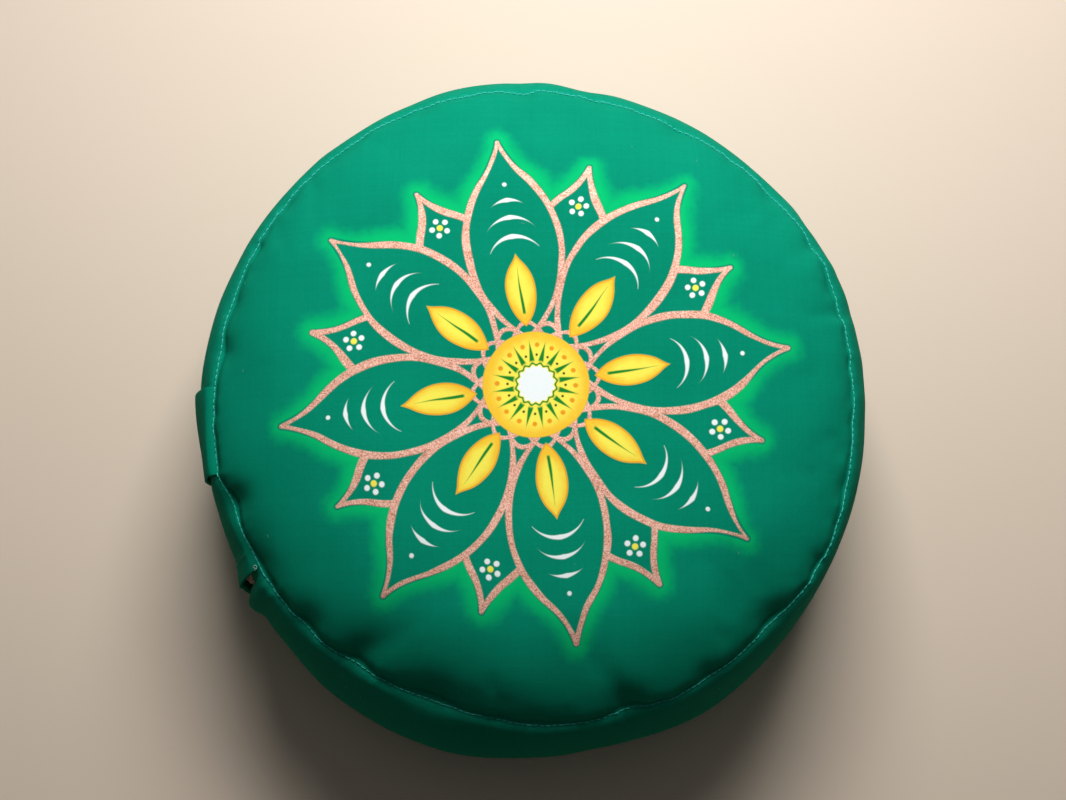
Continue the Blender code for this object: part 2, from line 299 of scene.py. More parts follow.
def band_point(angle, share, relief=0.0):
    """A point of the band, a share of the way up from its base seam to its top seam."""
    turn = share * TOP_TURN - (1 - share) * BASE_TURN
    above = turn > 0
    limit = np.radians(np.where(above, TOP_TURN, BASE_TURN))
    top_seam = outline(SEAM_OUTLINE, angle) - pulled_in(angle, TOP_PUCKERS)
    seam_radius = np.where(above, top_seam, BASE_SEAM_RADIUS - pulled_in(angle, BASE_PUCKERS))
    seam_rise = np.where(above, SEAM_HEIGHT - WIDEST_HEIGHT, WIDEST_HEIGHT - BASE_SEAM_HEIGHT)
    out = (np.cos(np.radians(turn)) - np.cos(limit)) / (1 - np.cos(limit))
    dented = sum(depth * MM * around_pucker(angle, at, width) for at, depth, width in DENTS)
    radius = seam_radius + (outline(WIDEST_OUTLINE, angle) - dented + relief - seam_radius) * out
    height = WIDEST_HEIGHT + seam_rise * np.sin(np.radians(turn)) / np.sin(limit)
    return at_angle(angle, radius, height)


def top_point(angle, inward):
    """A point of the top, a level distance in from its seam."""
    share = 1 - inward / TOP_REACH
    height = SEAM_HEIGHT + CROWN * (1 - share**CROWN_POWER)
    pull = pulled_in(angle, TOP_PUCKERS) * bell(inward, PULL_REACH)
    return at_angle(angle, outline(SEAM_OUTLINE, angle) * share - pull, height)


def base_point(angle, inward):
    """A point of the base, a distance in from its seam, where it first drops to the floor."""
    drop = np.clip(1 - inward / (BASE_SEAM_RADIUS - BASE_FLAT_RADIUS), 0, 1)
    pull = pulled_in(angle, BASE_PUCKERS) * bell(inward, PULL_REACH)
    return at_angle(angle, BASE_SEAM_RADIUS - inward - pull, BASE_SEAM_HEIGHT * drop**BASE_LIFT_POWER)


# %% [markdown]
# ## Rows and columns of the cover
#
# The cover is one closed sheet of rings from the middle of the top over the top seam, down the band, over
# the base seam and to the middle of the base. A seam is a sharp little form in a large soft one, so the
# rings lie 0.55 mm apart there and grow to 4 mm away from it. Columns are closer at the closure.

# %% Spacing
BAND_LENGTH = 119 * MM  # up its bulge, from seam to seam
MIDDLE_GAP = 4 * MM  # the radius of the smallest ring
RING_GAPS = (0.55 * MM, 4 * MM)  # between rings, at a seam and far from it
GROWTH = 1.13  # how much wider each gap is than the one before
COLUMNS = 480
CLOSURE_ANGLES, CLOSURE_STEP = (192.0, 220.5), 0.2


def from_seam(length, first, largest):
    """Distances from a seam, from 0 to length, in steps that grow from first to largest."""
    places, step = [0.0], first
    while places[-1] < length:
        places.append(places[-1] + step)
        step = min(step * GROWTH, largest)
    return np.array(places) * length / places[-1]


def fine_angles():
    """The columns' angles: even ones, and closer ones over the closure."""
    even = np.arange(0, 360, 360 / COLUMNS)
    first, last = CLOSURE_ANGLES
    close = np.arange(first, last, CLOSURE_STEP)
    return np.sort(np.concatenate([even[(even < first) | (even > last)], close]))


def cover_rings(angles, first, largest, relief=0.0):
    """The cover's plain form as rings of points, and the rows of its top and base seams."""
    top = from_seam(TOP_REACH - MIDDLE_GAP, first, largest)[::-1]
    half = from_seam(BAND_LENGTH / 2, first, largest) / BAND_LENGTH
    base = from_seam(BASE_SEAM_RADIUS - MIDDLE_GAP, first, 2 * largest)
    rows = [top_point(angles, inward) for inward in top]
    rows += [band_point(angles, share, relief) for share in (*(1 - half[1:]), *half[-2::-1])]
    base_seam = len(rows) - 1
    rows += [base_point(angles, inward) for inward in base[1:]]
    return np.array(rows), len(top) - 1, base_seam


def grid_normals(grid):
    """Unit normals of closed rings, pointing out of the cushion."""
    round_it = np.roll(grid, -1, axis=1) - np.roll(grid, 1, axis=1)
    normals = np.cross(np.gradient(grid, axis=0), round_it)
    return normals / np.linalg.norm(normals, axis=2, keepdims=True)


def distance_from(grid, seam_row):
    """How far each point lies from a seam, along the cloth: negative on the first row's side."""
    steps = np.linalg.norm(np.diff(grid, axis=0), axis=2)
    along = np.concatenate([np.zeros((1, grid.shape[1])), np.cumsum(steps, axis=0)])
    return along - along[seam_row]


angles = fine_angles()
cover, TOP_SEAM, BASE_SEAM = cover_rings(angles, *RING_GAPS, closure_relief(angles))
print("cover:", cover.shape[0], "rings of", cover.shape[1], "points")


# %% [markdown]
# ## Puckers
#
# A pucker pulls the seam in a little and sinks the cloth along its own normal: most a few millimetres in
# from the seam, and less and less along the seam, over the top and down the band. A sum of Gaussian curves
# does that without any edge to be seen.


# %% Puckers and the crease at a seam
def puckered(angle, distance, puckers):
    """How deep the cloth sinks, where distance is along it from the seam, and negative on the panel."""
    depth = np.zeros(np.broadcast_shapes(angle.shape, distance.shape))
    for at, sunk, reach, width, _ in puckers:
        beyond = distance < -DEEPEST
        on_panel = bell(distance + DEEPEST, np.where(beyond, INNER_SHARE * reach * MM, DEEPEST))
        on_band = bell(DEEPEST, DEEPEST) * bell(distance, BAND_REACH)
        depth += sunk * MM * around_pucker(angle, at, width) * np.where(distance < 0, on_panel, on_band)
    return depth


def drawn_in(angle, distance, puckers):
    """The crease that a seam makes, with its puckers."""
    return CREASE_DEPTH * bell(distance, CREASE_WIDTH) + puckered(angle, distance, puckers)


# %% [markdown]
# ## Filling the cover
#
# Real cloth shows where it is tight: it swells between the stitches that hold it and drags in small folds
# where it has more length than its seam. Cloth simulation finds these folds. A coarse cover, free of seams'
# fine detail, is pinned along its seams and on the floor, given a little more cloth near the seams, and
# blown up by pressure from inside. Only the folds are kept, as a depth along the normal. What the pressure
# adds evenly is left out, because the outline was measured. The folds are kept at about half their depth,
# because the cushion is filled tight, and they fade out over the top. There are none from the strap to the
# closure, where other pieces lie close on the band.

# %% The test cover and its cloth
TEST_COLUMNS, TEST_GAPS = 180, (2.5 * MM, 5.5 * MM)
TEST_FRAMES, TEST_QUALITY = 20, 6
PRESSURE = 4.0
SEAM_FULLNESS, FULLNESS_REACH = 0.05, 22 * MM
MOST_FOLD, FOLD_SHARE, FOLD_REACH = 2.5 * MM, 0.55, 38 * MM  # the reach is in over the panel
QUIET_ANGLES = (172.0, 178.0, 216.0, 222.0)  # from the strap to the closure, and a fade on each side


def ring_mesh(name, rings, first_middle, last_middle):
    """A closed mesh of rings with a fan at each end, its faces pointing out of the cushion."""
    rows, columns = rings.shape[:2]
    points = np.concatenate([rings.reshape(-1, 3), [first_middle, last_middle]])
    here = np.arange(columns)
    after = np.roll(here, -1)
    faces = []
    for row in range(rows - 1):
        upper, lower = row * columns, (row + 1) * columns
        faces += np.stack([upper + here, lower + here, lower + after, upper + after], axis=1).tolist()
    last = (rows - 1) * columns
    faces += [(rows * columns, k, after[k]) for k in here]
    faces += [(rows * columns + 1, last + after[k], last + k) for k in here]
    mesh = bpy.data.meshes.new(name)
    mesh.from_pydata(points.tolist(), [], faces)
    mesh.update()
    return mesh


def add_piece(name, mesh):
    """A smooth-shaded object from a mesh."""
    mesh.shade_smooth()
    return new_object(name, mesh)


def make_cloth(obj, held, full):
    """Makes an object a blown-up cloth, pinned where held is 1 and given more cloth where full is 1."""
    for name, weights in (("held", held), ("full", full)):
        group = obj.vertex_groups.new(name=name)
        for index, weight in enumerate(weights):
            group.add([index], float(weight), "REPLACE")
    cloth = obj.modifiers.new("cloth", "CLOTH").settings
    cloth.quality = TEST_QUALITY
    cloth.vertex_group_mass, cloth.vertex_group_shrink = "held", "full"
    cloth.shrink_max = -SEAM_FULLNESS
    cloth.use_pressure, cloth.uniform_pressure_force = True, PRESSURE
    cloth.effector_weights.gravity = 0


def points_after(obj, frames):
    """An object's points after so many frames of its simulation."""
    for number in range(1, frames + 1):
        bpy.context.scene.frame_set(number)
    blown = obj.evaluated_get(bpy.context.evaluated_depsgraph_get()).data
    points = np.empty(len(blown.vertices) * 3, np.float32)
    blown.vertices.foreach_get("co", points)
    bpy.context.scene.frame_set(1)
    return points.reshape(-1, 3)


# %% Filling the test cover
def filled_folds():
    """The folds that the filling makes, as depths out of the plain cover, by place along it and angle."""
    around = np.arange(TEST_COLUMNS) * 360 / TEST_COLUMNS
    rings, top_seam, base_seam = cover_rings(around, *TEST_GAPS)
    normals = grid_normals(rings)
    from_top, from_base = distance_from(rings, top_seam), distance_from(rings, base_seam)
    start = rings.copy()
    for row, puckers in ((top_seam, TOP_PUCKERS), (base_seam, BASE_PUCKERS)):
        sunk = drawn_in(around, np.zeros(len(around)), puckers)
        start[row] -= normals[row] * sunk[:, None]
    middles = (0, 0, SEAM_HEIGHT + CROWN), (0, 0, 0)
    test = add_piece("filling_test", ring_mesh("filling_test", start, *middles))
    held = np.zeros(rings.shape[:2])
    held[[top_seam, *range(base_seam, len(rings))]] = 1
    near = np.minimum(abs(from_top), abs(from_base))
    full = np.clip(1 - near / FULLNESS_REACH, 0, 1)
    make_cloth(test, [*held.ravel(), 0, 1], [*full.ravel(), 0, 0])
    points = points_after(test, TEST_FRAMES)
    bpy.data.objects.remove(test)
    moved = points[: held.size].reshape(rings.shape) - start
    out = (moved * normals).sum(axis=2)
    swollen = out.mean(axis=1, keepdims=True)
    print("filling: swells", float(swollen.max()) / MM, "mm, folds", float(abs(out - swollen).max()) / MM)
    return np.clip(out - swollen, -MOST_FOLD, MOST_FOLD), from_top.mean(axis=1), around


def read_between(values, places, wanted):
    """Values along axis 0 at wanted places, on a smooth curve through them."""
    row = np.clip(np.searchsorted(places, wanted, side="right") - 1, 0, len(places) - 2)
    rows = np.clip(row - 1, 0, None), row, row + 1, np.clip(row + 2, None, len(places) - 1)
    t = ((wanted - places[row]) / (places[row + 1] - places[row]))[:, None]
    return curve_between(*(values[k] for k in rows), t)


def folds_on(grid, seam_row):
    """The folds read at each point of a finer cover, and nothing at the strap and the closure."""
    folds, along, around = filled_folds()
    looped = np.concatenate([folds[:, -2:], folds, folds[:, :3]], axis=1)
    places = np.concatenate([around[-2:] - 360, around, around[:3] + 360])
    by_angle = read_between(looped.T, places, angles).T
    inward = distance_from(grid, seam_row).mean(axis=1)
    wanted = np.clip(inward, along[0], along[-1])
    shown = FOLD_SHARE * bell(np.minimum(inward, 0), FOLD_REACH)[:, None]
    first, second, third, fourth = QUIET_ANGLES
    quiet = smooth_step(first, second, angles) * smooth_step(fourth, third, angles)
    return read_between(by_angle, along, wanted) * shown * (1 - quiet)


folds = folds_on(cover, TOP_SEAM)
print("folds from", float(folds.min()) / MM, "to", float(folds.max()) / MM, "mm")

# %% [markdown]
# ## Seams
#
# Where the band and a panel meet, the cloth is sewn right sides together, the turnings are laid towards the
# band, and a second row of stitches holds them down. So from the panel outwards there are a soft hollow,
# the fine ditch of the seam, the row of stitches, and a slim lip over the turnings. The two seams have the
# same build. Small drags along the seam, from the feed of the sewing machine, keep it from looking moulded.

# %% Fine relief of a seam
# Each form's depth or rise, how far from the stitches it lies, and its half width.
DITCH, DITCH_PLACE, DITCH_WIDTH = 0.12 * MM, 1.3 * MM, 0.7 * MM
LIP_RISE, LIP_PLACE, LIP_WIDTH = 0.18 * MM, 1.7 * MM, 1.2 * MM
HOLLOW, HOLLOW_PLACE, HOLLOW_WIDTH = 0.8 * MM, 2.2 * MM, 3.6 * MM
DRAG, DRAG_REACH = 0.16 * MM, 8 * MM
LIP_WAVES, HOLLOW_WAVES, DRAG_WAVES = range(60, 150, 7), range(24, 90, 5), range(90, 190, 8)
LIP_CHANGE, HOLLOW_CHANGE = 0.25, 0.4  # how much the waves change the lip and the hollow
WAVE_SIZES = (0.4, 1.0)
NEAR_LEFT_DEEPER = 0.35  # the hollow is deeper on the near left side, by this share
draw = np.random.default_rng(12)


def ripples(angle, counts, size):
    """A wave round the cushion: many sine waves of different counts, with random sizes and starts."""
    starts = draw.uniform(0, 2 * np.pi, len(counts))
    sizes = draw.uniform(*WAVE_SIZES, len(counts))
    waves = [s * np.sin(np.radians(angle) * n + p) for n, s, p in zip(counts, sizes, starts)]
    return size * np.sum(waves, axis=0) / np.sqrt(len(counts) / 2)


def seam_relief(angle, distance):
    """The lip on the band's side, the ditch and the hollow on the panel's side, and the drags."""
    ditch = DITCH * bell(distance + DITCH_PLACE, DITCH_WIDTH)
    lip = LIP_RISE * bell(distance - LIP_PLACE, LIP_WIDTH)
    lip = lip * (1 + ripples(angle, LIP_WAVES, LIP_CHANGE))
    hollow = HOLLOW * bell(distance + HOLLOW_PLACE, HOLLOW_WIDTH)
    sides = -NEAR_LEFT_DEEPER * (np.sin(np.radians(angle)) + np.cos(np.radians(angle)))
    hollow = hollow * (1 + sides + ripples(angle, HOLLOW_WAVES, HOLLOW_CHANGE))
    drags = ripples(angle, DRAG_WAVES, DRAG) * bell(distance, DRAG_REACH)
    return lip - ditch - hollow + drags, lip


# %% The finished cover
LUMP, LUMP_WAVES, SHORTEST_WAVE, LONGEST_WAVE = 0.28 * MM, 14, 28, 70  # the waves' lengths are in mm
LUMP_FADE = 12 * MM  # the height below which the floor presses the cloth flat


def lumps(rings):
    """The soft unevenness of the filling, in waves across all three directions."""
    total = np.zeros(rings.shape[:2])
    for _ in range(LUMP_WAVES):
        direction = draw.normal(size=3)
        wave = 2 * np.pi / (draw.uniform(SHORTEST_WAVE, LONGEST_WAVE) * MM) / np.linalg.norm(direction)
        total += np.sin(rings @ direction * wave + draw.uniform(0, 2 * np.pi))
    return LUMP * total / np.sqrt(LUMP_WAVES / 2)


def finished_cover(rings):
    """The rings with folds, lumps, puckers and seams, and how much of each point is lip."""
    normals = grid_normals(rings)
    height = folds + lumps(rings) * smooth_step(0, LUMP_FADE, rings[..., 2])
    on_lip = np.zeros(rings.shape[:2])
    for row, side, puckers in ((TOP_SEAM, 1, TOP_PUCKERS), (BASE_SEAM, -1, BASE_PUCKERS)):
        distance = side * distance_from(rings, row)
        relief, lip = seam_relief(angles, distance)
        height += relief - drawn_in(angles[None, :], distance, puckers)
        on_lip += lip / LIP_RISE
    shaped = rings + normals * height[..., None]
    shaped[..., 2] = np.maximum(shaped[..., 2], 0)
    return shaped, on_lip


shaped, on_lip = finished_cover(cover)
print("finished cover:", float(shaped[..., 2].max()) / MM, "mm high")

# %% [markdown]
# ## The cover's cloth coordinates
#
# A weave follows the cloth, so each panel gets its own coordinates in metres, as if it lay flat: the top
# and the base are seen from above, and the band is unrolled. They meet only at the seams, as the real
# pieces do. The lip's share goes to the material as an attribute, where a painted highlight makes it a
# little paler.

# %% The cushion's mesh
UNROLL_RADIUS = 172 * MM  # the band's radius where an angle on it is turned into a length
MIDDLE_RISE = 0.02 * MM  # the middle point above the smallest ring


def cloth_coordinates(rings):
    """Flat coordinates for the corners of ring_mesh's faces, in its order."""
    rows, columns = rings.shape[:2]
    flat = rings[..., :2]
    looped_angles = np.radians(np.append(angles, angles[0] + 360)) * UNROLL_RADIUS
    down = distance_from(rings, TOP_SEAM)
    looped_down = np.concatenate([down, down[:, :1]], axis=1)
    unrolled = np.stack(np.broadcast_arrays(looped_angles[None, :], looped_down), axis=-1)
    corners = np.empty((rows - 1, columns, 4, 2))
    here, after = np.arange(columns), np.roll(np.arange(columns), -1)
    for row in range(rows - 1):
        if TOP_SEAM <= row < BASE_SEAM:
            places = unrolled[row, :-1], unrolled[row + 1, :-1], unrolled[row + 1, 1:], unrolled[row, 1:]
        else:
            places = flat[row, here], flat[row + 1, here], flat[row + 1, after], flat[row, after]
        corners[row] = np.stack(places, axis=1)
    middle = np.zeros((columns, 2))
    fan_top = np.stack([middle, flat[0, here], flat[0, after]], axis=1)
    fan_base = np.stack([middle, flat[-1, after], flat[-1, here]], axis=1)
    return np.concatenate([part.reshape(-1, 2) for part in (corners, fan_top, fan_base)])


def add_cloth_coordinates(mesh, corners):
    """Stores them as the mesh's UV map."""
    layer = mesh.uv_layers.new(name="cloth")
    layer.data.foreach_set("uv", corners.astype(np.float32).ravel())


middle = (0, 0, float(shaped[0, :, 2].mean()) + MIDDLE_RISE)
cover_mesh = ring_mesh("cushion_cover", shaped, middle, (0, 0, 0))
add_cloth_coordinates(cover_mesh, cloth_coordinates(cover))
lip_share = cover_mesh.attributes.new("lip", "FLOAT", "POINT")
lip_share.data.foreach_set("value", np.append(on_lip.ravel(), [0, 0]).astype(np.float32))
cushion = add_piece("cushion_cover", cover_mesh)
print("cushion_cover:", len(cover_mesh.polygons), "faces")

# %% [markdown]
# ## The strap and the lap
#
# Both are flat cloth that lies over the band with both ends caught in the seams. Each is a shell: a grid
# for the face that is seen, a grid for the face that lies on the cushion, and a rim round both that is
# rounded by a Bevel. Near a seam the shell follows the crease and thins out, so that it goes in under the
# stitches.

# %% A closed sheet of cloth on the band
END_REACH = 3.0 * MM  # how far from a seam the cloth has its full thickness
END_SUNK = 0.5 * MM  # how deep its end lies in the seam, and how far past the seam it would be all thin
EDGE_ROUND, EDGE_STEPS, EDGE_ANGLE = 0.75 * MM, 3, math.radians(50)
SHELL_ROWS = 90  # up the band


def on_band(angle, share, lift):
    """Points of the band moved straight out by lift, and drawn in at the seams as the cover is."""
    small = 1e-3  # a step to either side, for the slope
    point = band_point(angle, share)
    round_it = band_point(angle + small, share) - band_point(angle - small, share)
    up_it = band_point(angle, share + small) - band_point(angle, share - small)
    out = np.cross(round_it, up_it)
    out /= np.linalg.norm(out, axis=-1, keepdims=True)
    to_top, to_base = (1 - share) * BAND_LENGTH, share * BAND_LENGTH
    thick = smooth_step(-END_SUNK, END_REACH, np.minimum(to_top, to_base))
    lift = lift * thick - END_SUNK * (1 - thick)
    for distance, puckers in ((to_top, TOP_PUCKERS), (to_base, BASE_PUCKERS)):
        lift = lift - drawn_in(angle, distance, puckers)
    return point + out * lift[..., None]


def mesh_of(name, bm):
    """The mesh that bmesh has built up, which is then done with."""
    mesh = bpy.data.meshes.new(name)
    bm.to_mesh(mesh)
    bm.free()
    return mesh


def shell_object(name, inner, outer, size):
    """A closed shell between two grids of points, whose flat size is given for its cloth coordinates."""
    across, along = outer.shape[:2]
    bm = bmesh.new()
    layer = bm.loops.layers.uv.new("cloth")
    grids = [[[bm.verts.new(point) for point in line] for line in grid] for grid in (outer, inner)]
    flat = {}
    for grid in grids:
        for i, line in enumerate(grid):
            for j, vert in enumerate(line):
                flat[vert] = (size[0] * i / (across - 1), size[1] * j / (along - 1))
    front, back = grids
    for i in range(across - 1):
        for j in range(along - 1):
            bm.faces.new((front[i][j], front[i + 1][j], front[i + 1][j + 1], front[i][j + 1]))
            bm.faces.new((back[i][j], back[i][j + 1], back[i + 1][j + 1], back[i + 1][j]))
    edge = [(i, 0) for i in range(across)] + [(across - 1, j) for j in range(1, along)]
    edge += [(i, along - 1) for i in range(across - 2, -1, -1)] + [(0, j) for j in range(along - 2, 0, -1)]
    for (i, j), (m, n) in zip(edge, edge[1:] + edge[:1]):
        bm.faces.new((front[m][n], front[i][j], back[i][j], back[m][n]))
    for face in bm.faces:
        for loop in face.loops:
            loop[layer].uv = flat[loop.vert]
    bmesh.ops.recalc_face_normals(bm, faces=bm.faces)
    obj = add_piece(name, mesh_of(name, bm))
    bevel = obj.modifiers.new("rounded rim", "BEVEL")
    bevel.width, bevel.segments = EDGE_ROUND, EDGE_STEPS
    bevel.limit_method, bevel.angle_limit = "ANGLE", EDGE_ANGLE
    return obj


# %% [markdown]
# The carrying strap is a strip of the same cotton, doubled and pressed flat, 44 mm wide. It lies close to
# the band along its middle. Because the band is round and the strap is stiff, its edges stand off a little
# more.

# %% The carrying strap
STRAP_ANGLE = 185.5
STRAP_WIDTH, STRAP_THICKNESS, STRAP_EDGE_LIFT = 44 * MM, 1.6 * MM, 1.2 * MM
STRAP_COLUMNS = 33
STRAP_CREASE, CREASE_UP, CREASE_ACROSS = 0.18 * MM, 9, 2.2  # a soft wave, and how it runs up and across
STRAP_THINNER, THINNER_POWER = 0.12, 8  # how much thinner its edges are pressed, and how abruptly


def strap_grids():
    """The strap's inner and outer face."""
    shares = np.linspace(0.0, 1.0, SHELL_ROWS)[None, :]
    across = np.linspace(-1, 1, STRAP_COLUMNS)[:, None]
    radius = np.linalg.norm(band_point(STRAP_ANGLE, shares)[..., :2], axis=-1)
    angle = STRAP_ANGLE + np.degrees(np.arcsin(across * STRAP_WIDTH / 2 / radius))
    edge_lift = STRAP_EDGE_LIFT * across**2 * np.sin(np.pi * shares) ** 0.5
    soft = STRAP_CREASE * np.sin(CREASE_UP * shares + CREASE_ACROSS * across + 1) * np.sin(np.pi * shares)
    inner = PIECE_GAP + edge_lift + soft
    folded = STRAP_THICKNESS * (1 - STRAP_THINNER * across**THINNER_POWER)
    return [on_band(*np.broadcast_arrays(angle, shares, lift)) for lift in (inner, inner + folded)]


strap = shell_object("carrying_strap", *strap_grids(), (STRAP_WIDTH, BAND_LENGTH))
print("strap:", round(STRAP_WIDTH / MM, 1), "by", round(BAND_LENGTH / MM, 1), "mm")

# %% [markdown]
# The lap is the free end of the band. Where it leaves the band it is one cloth with it, so its root starts
# just under the band's surface and comes up level with it. Its free edge is turned under and hemmed, which
# shows as a low step and a line of stitches, and it stands open because nothing holds it between the two
# seams.

# %% The lap over the closure
LAP_START, LAP_COLUMNS = 193.2, 48
LAP_SUNK, LAP_PROUD = 0.35 * MM, 0.12 * MM  # how far its root dips, and how far all of it stands out
LAP_LEAN = 1.1  # how many degrees further its free edge reaches low down
LAP_WAVER, WAVER_RATE, WAVER_START = 0.25, 7, 0.6  # how its free edge waves, in degrees and radians
LEAN_SHARES, FOOT_SHARES = (0.6, 0.42), (0, 0.1)  # where, up the band, the lean sets in and where it ends
MOUTH_ROUND = 0.7  # below 1 the mouth opens more quickly from its two ends
HEM_WIDTH, HEM_RISE, HEM_STEP, HEM_FADE = 11 * MM, 0.16 * MM, 1 * MM, 3.0  # the fade is in degrees
LAP_LENGTH = math.radians(LAP_EDGE - LAP_START) * UNROLL_RADIUS


def lap_outer(angle, share):
    """How far the lap's outer face stands out from the band's even outline."""
    towards_edge = np.clip((angle - LAP_LIFT_FROM) / (LAP_EDGE - LAP_LIFT_FROM), 0, 1)
    open_share = np.sin(np.pi * np.clip(share, 0, 1)) ** MOUTH_ROUND
    mouth = LAP_MOUTH_GAP * towards_edge**LAP_LIFT_POWER * open_share
    to_edge = np.radians(LAP_EDGE - angle) * UNROLL_RADIUS
    hem = HEM_RISE * (smooth_step(HEM_WIDTH + HEM_STEP, HEM_WIDTH - HEM_STEP, to_edge) - 0.5)
    hem = hem * smooth_step(LAP_ROOT, LAP_ROOT + HEM_FADE, angle)
    root = LAP_SUNK * smooth_step(LAP_ROOT, LAP_START, angle)
    return mouth + hem - root + LAP_PROUD


def lap_grids():
    """The lap's inner and outer face."""
    shares = np.linspace(0.0, 1.0, SHELL_ROWS)[None, :]
    angle = np.linspace(LAP_START, LAP_EDGE, LAP_COLUMNS)[:, None]
    angle, shares = np.broadcast_arrays(angle, shares)
    waver = LAP_WAVER * np.sin(WAVER_RATE * shares + WAVER_START) * np.sin(np.pi * shares)
    lean = LAP_LEAN * smooth_step(*LEAN_SHARES, shares) * smooth_step(*FOOT_SHARES, shares)
    angle = angle + (waver + lean) * smooth_step(LAP_LIFT_FROM, LAP_EDGE, angle)
    outer = lap_outer(angle, shares)
    return on_band(angle, shares, outer - LAP_THICKNESS), on_band(angle, shares, outer)


lap = shell_object("closure_lap_cloth", *lap_grids(), (LAP_LENGTH, BAND_LENGTH))
print("lap:", round(LAP_LENGTH / MM, 1), "mm round the band")

# %% [markdown]
# A little of a brown inner cloth shows in the mouth of the closure. It is a narrow crumpled strip that
# swells up from the floor of the recess, a thin sheet given its thickness by a Solidify.

# %% Inner cloth in the mouth
INNER_ANGLES, INNER_SHARES, INNER_THICKNESS = (207.8, 212.9), (0.1, 0.93), 0.6 * MM
INNER_COLUMNS, INNER_ROWS = 20, 70
INNER_LIFT, INNER_CRUMPLE, INNER_SWELL = 0.93 * MM, 0.3 * MM, 3.4 * MM
CRUMPLES, SMALL_CRUMPLES, SMALL_SHARE = 41, 83, 0.6  # how quickly two waves run up it, and the second's size


def inner_cloth_object():
    """A crumpled sheet over the recess: two crossing waves on a swelling floor."""
    angle = np.linspace(*INNER_ANGLES, INNER_COLUMNS)[:, None]
    share = np.linspace(*INNER_SHARES, INNER_ROWS)[None, :]
    angle, share = np.broadcast_arrays(angle, share)
    crumple = np.sin(CRUMPLES * share + 3 * np.sin(1.1 * angle))
    crumple = crumple + SMALL_SHARE * np.sin(SMALL_CRUMPLES * share - 1.7 * angle)
    first, last = INNER_ANGLES
    swell = INNER_SWELL * np.sin(np.pi * (angle - first) / (last - first)) ** 2 * np.sin(np.pi * share)
    points = on_band(angle, share, closure_relief(angle) + INNER_LIFT + swell + INNER_CRUMPLE * crumple)
    bm = bmesh.new()
    lines = [[bm.verts.new(point) for point in line] for line in points]
    for low, high in zip(lines, lines[1:]):
        for k in range(len(low) - 1):
            bm.faces.new((low[k], high[k], high[k + 1], low[k + 1]))
    obj = add_piece("inner_cloth", mesh_of("inner_cloth", bm))
    solid = obj.modifiers.new("thickness", "SOLIDIFY")
    solid.thickness, solid.offset = INNER_THICKNESS, 1.0
    return obj


inner_cloth = inner_cloth_object()

# %% [markdown]
# ## Stitches
#
# The seams were sewn with a pale thread that doesn't match the cloth, so every stitch shows. A stitch is a
# short bar of thread that comes up, lies along the seam and goes down again. Geometry Nodes follow a path
# with it: the path becomes a curve, is cut into even steps, and each step gets a bent bar, turned along the
# path and standing up along the cloth's normal, which the path carries as an attribute.


# %% Trees for threads
ARCH_STEPS, THREAD_SIDES = 6, 6


def new_tree(name, geometry, sizes, result):
    """A Geometry Nodes tree with named inputs: a geometry, sizes, a seed and a material."""
    tree = bpy.data.node_groups.new(name, "GeometryNodeTree")
    kinds = {geometry: "Geometry"} | dict.fromkeys(sizes, "Float") | {"Seed": "Int", "Material": "Material"}
    for label, kind in kinds.items():
        tree.interface.new_socket(label, in_out="INPUT", socket_type="NodeSocket" + kind)
    tree.interface.new_socket(result, in_out="OUTPUT", socket_type="NodeSocketGeometry")
    return tree, Wire(tree).node("NodeGroupInput", output=geometry)


def bent_thread(start, middle, end, thread, sides):
    """A short bar of thread, bent from start to end by its middle: each a dictionary of X, Y and Z."""
    places = [thread.node("ShaderNodeCombineXYZ", inputs=place) for place in (start, middle, end)]
    arch = {"Resolution": ARCH_STEPS} | dict(zip(("Start", "Middle", "End"), places))
    line = thread.node("GeometryNodeCurveQuadraticBezier", inputs=arch)
    profile = {"Resolution": sides, "Radius": thread * 0.5}
    ring = thread.node("GeometryNodeCurvePrimitiveCircle", inputs=profile)
    bar = {"Curve": line, "Profile Curve": ring, "Fill Caps": True}
    return thread.node("GeometryNodeCurveToMesh", inputs=bar)


def end_tree(instances, inputs, result):
    """Makes the instances real, gives them their material, and hands them out."""
    real = instances.node("GeometryNodeRealizeInstances", inputs={"Geometry": instances})
    done = {"Geometry": real, "Material": inputs.other("Material")}
    finished = real.node("GeometryNodeSetMaterial", inputs=done)
    finished.node("NodeGroupOutput", inputs={result: finished})


# %% The stitching tree
SMALLEST_STITCH, LARGEST_STITCH = (0.82, 0.9, 0.8), (1.12, 1.1, 1.2)  # as shares of the named sizes


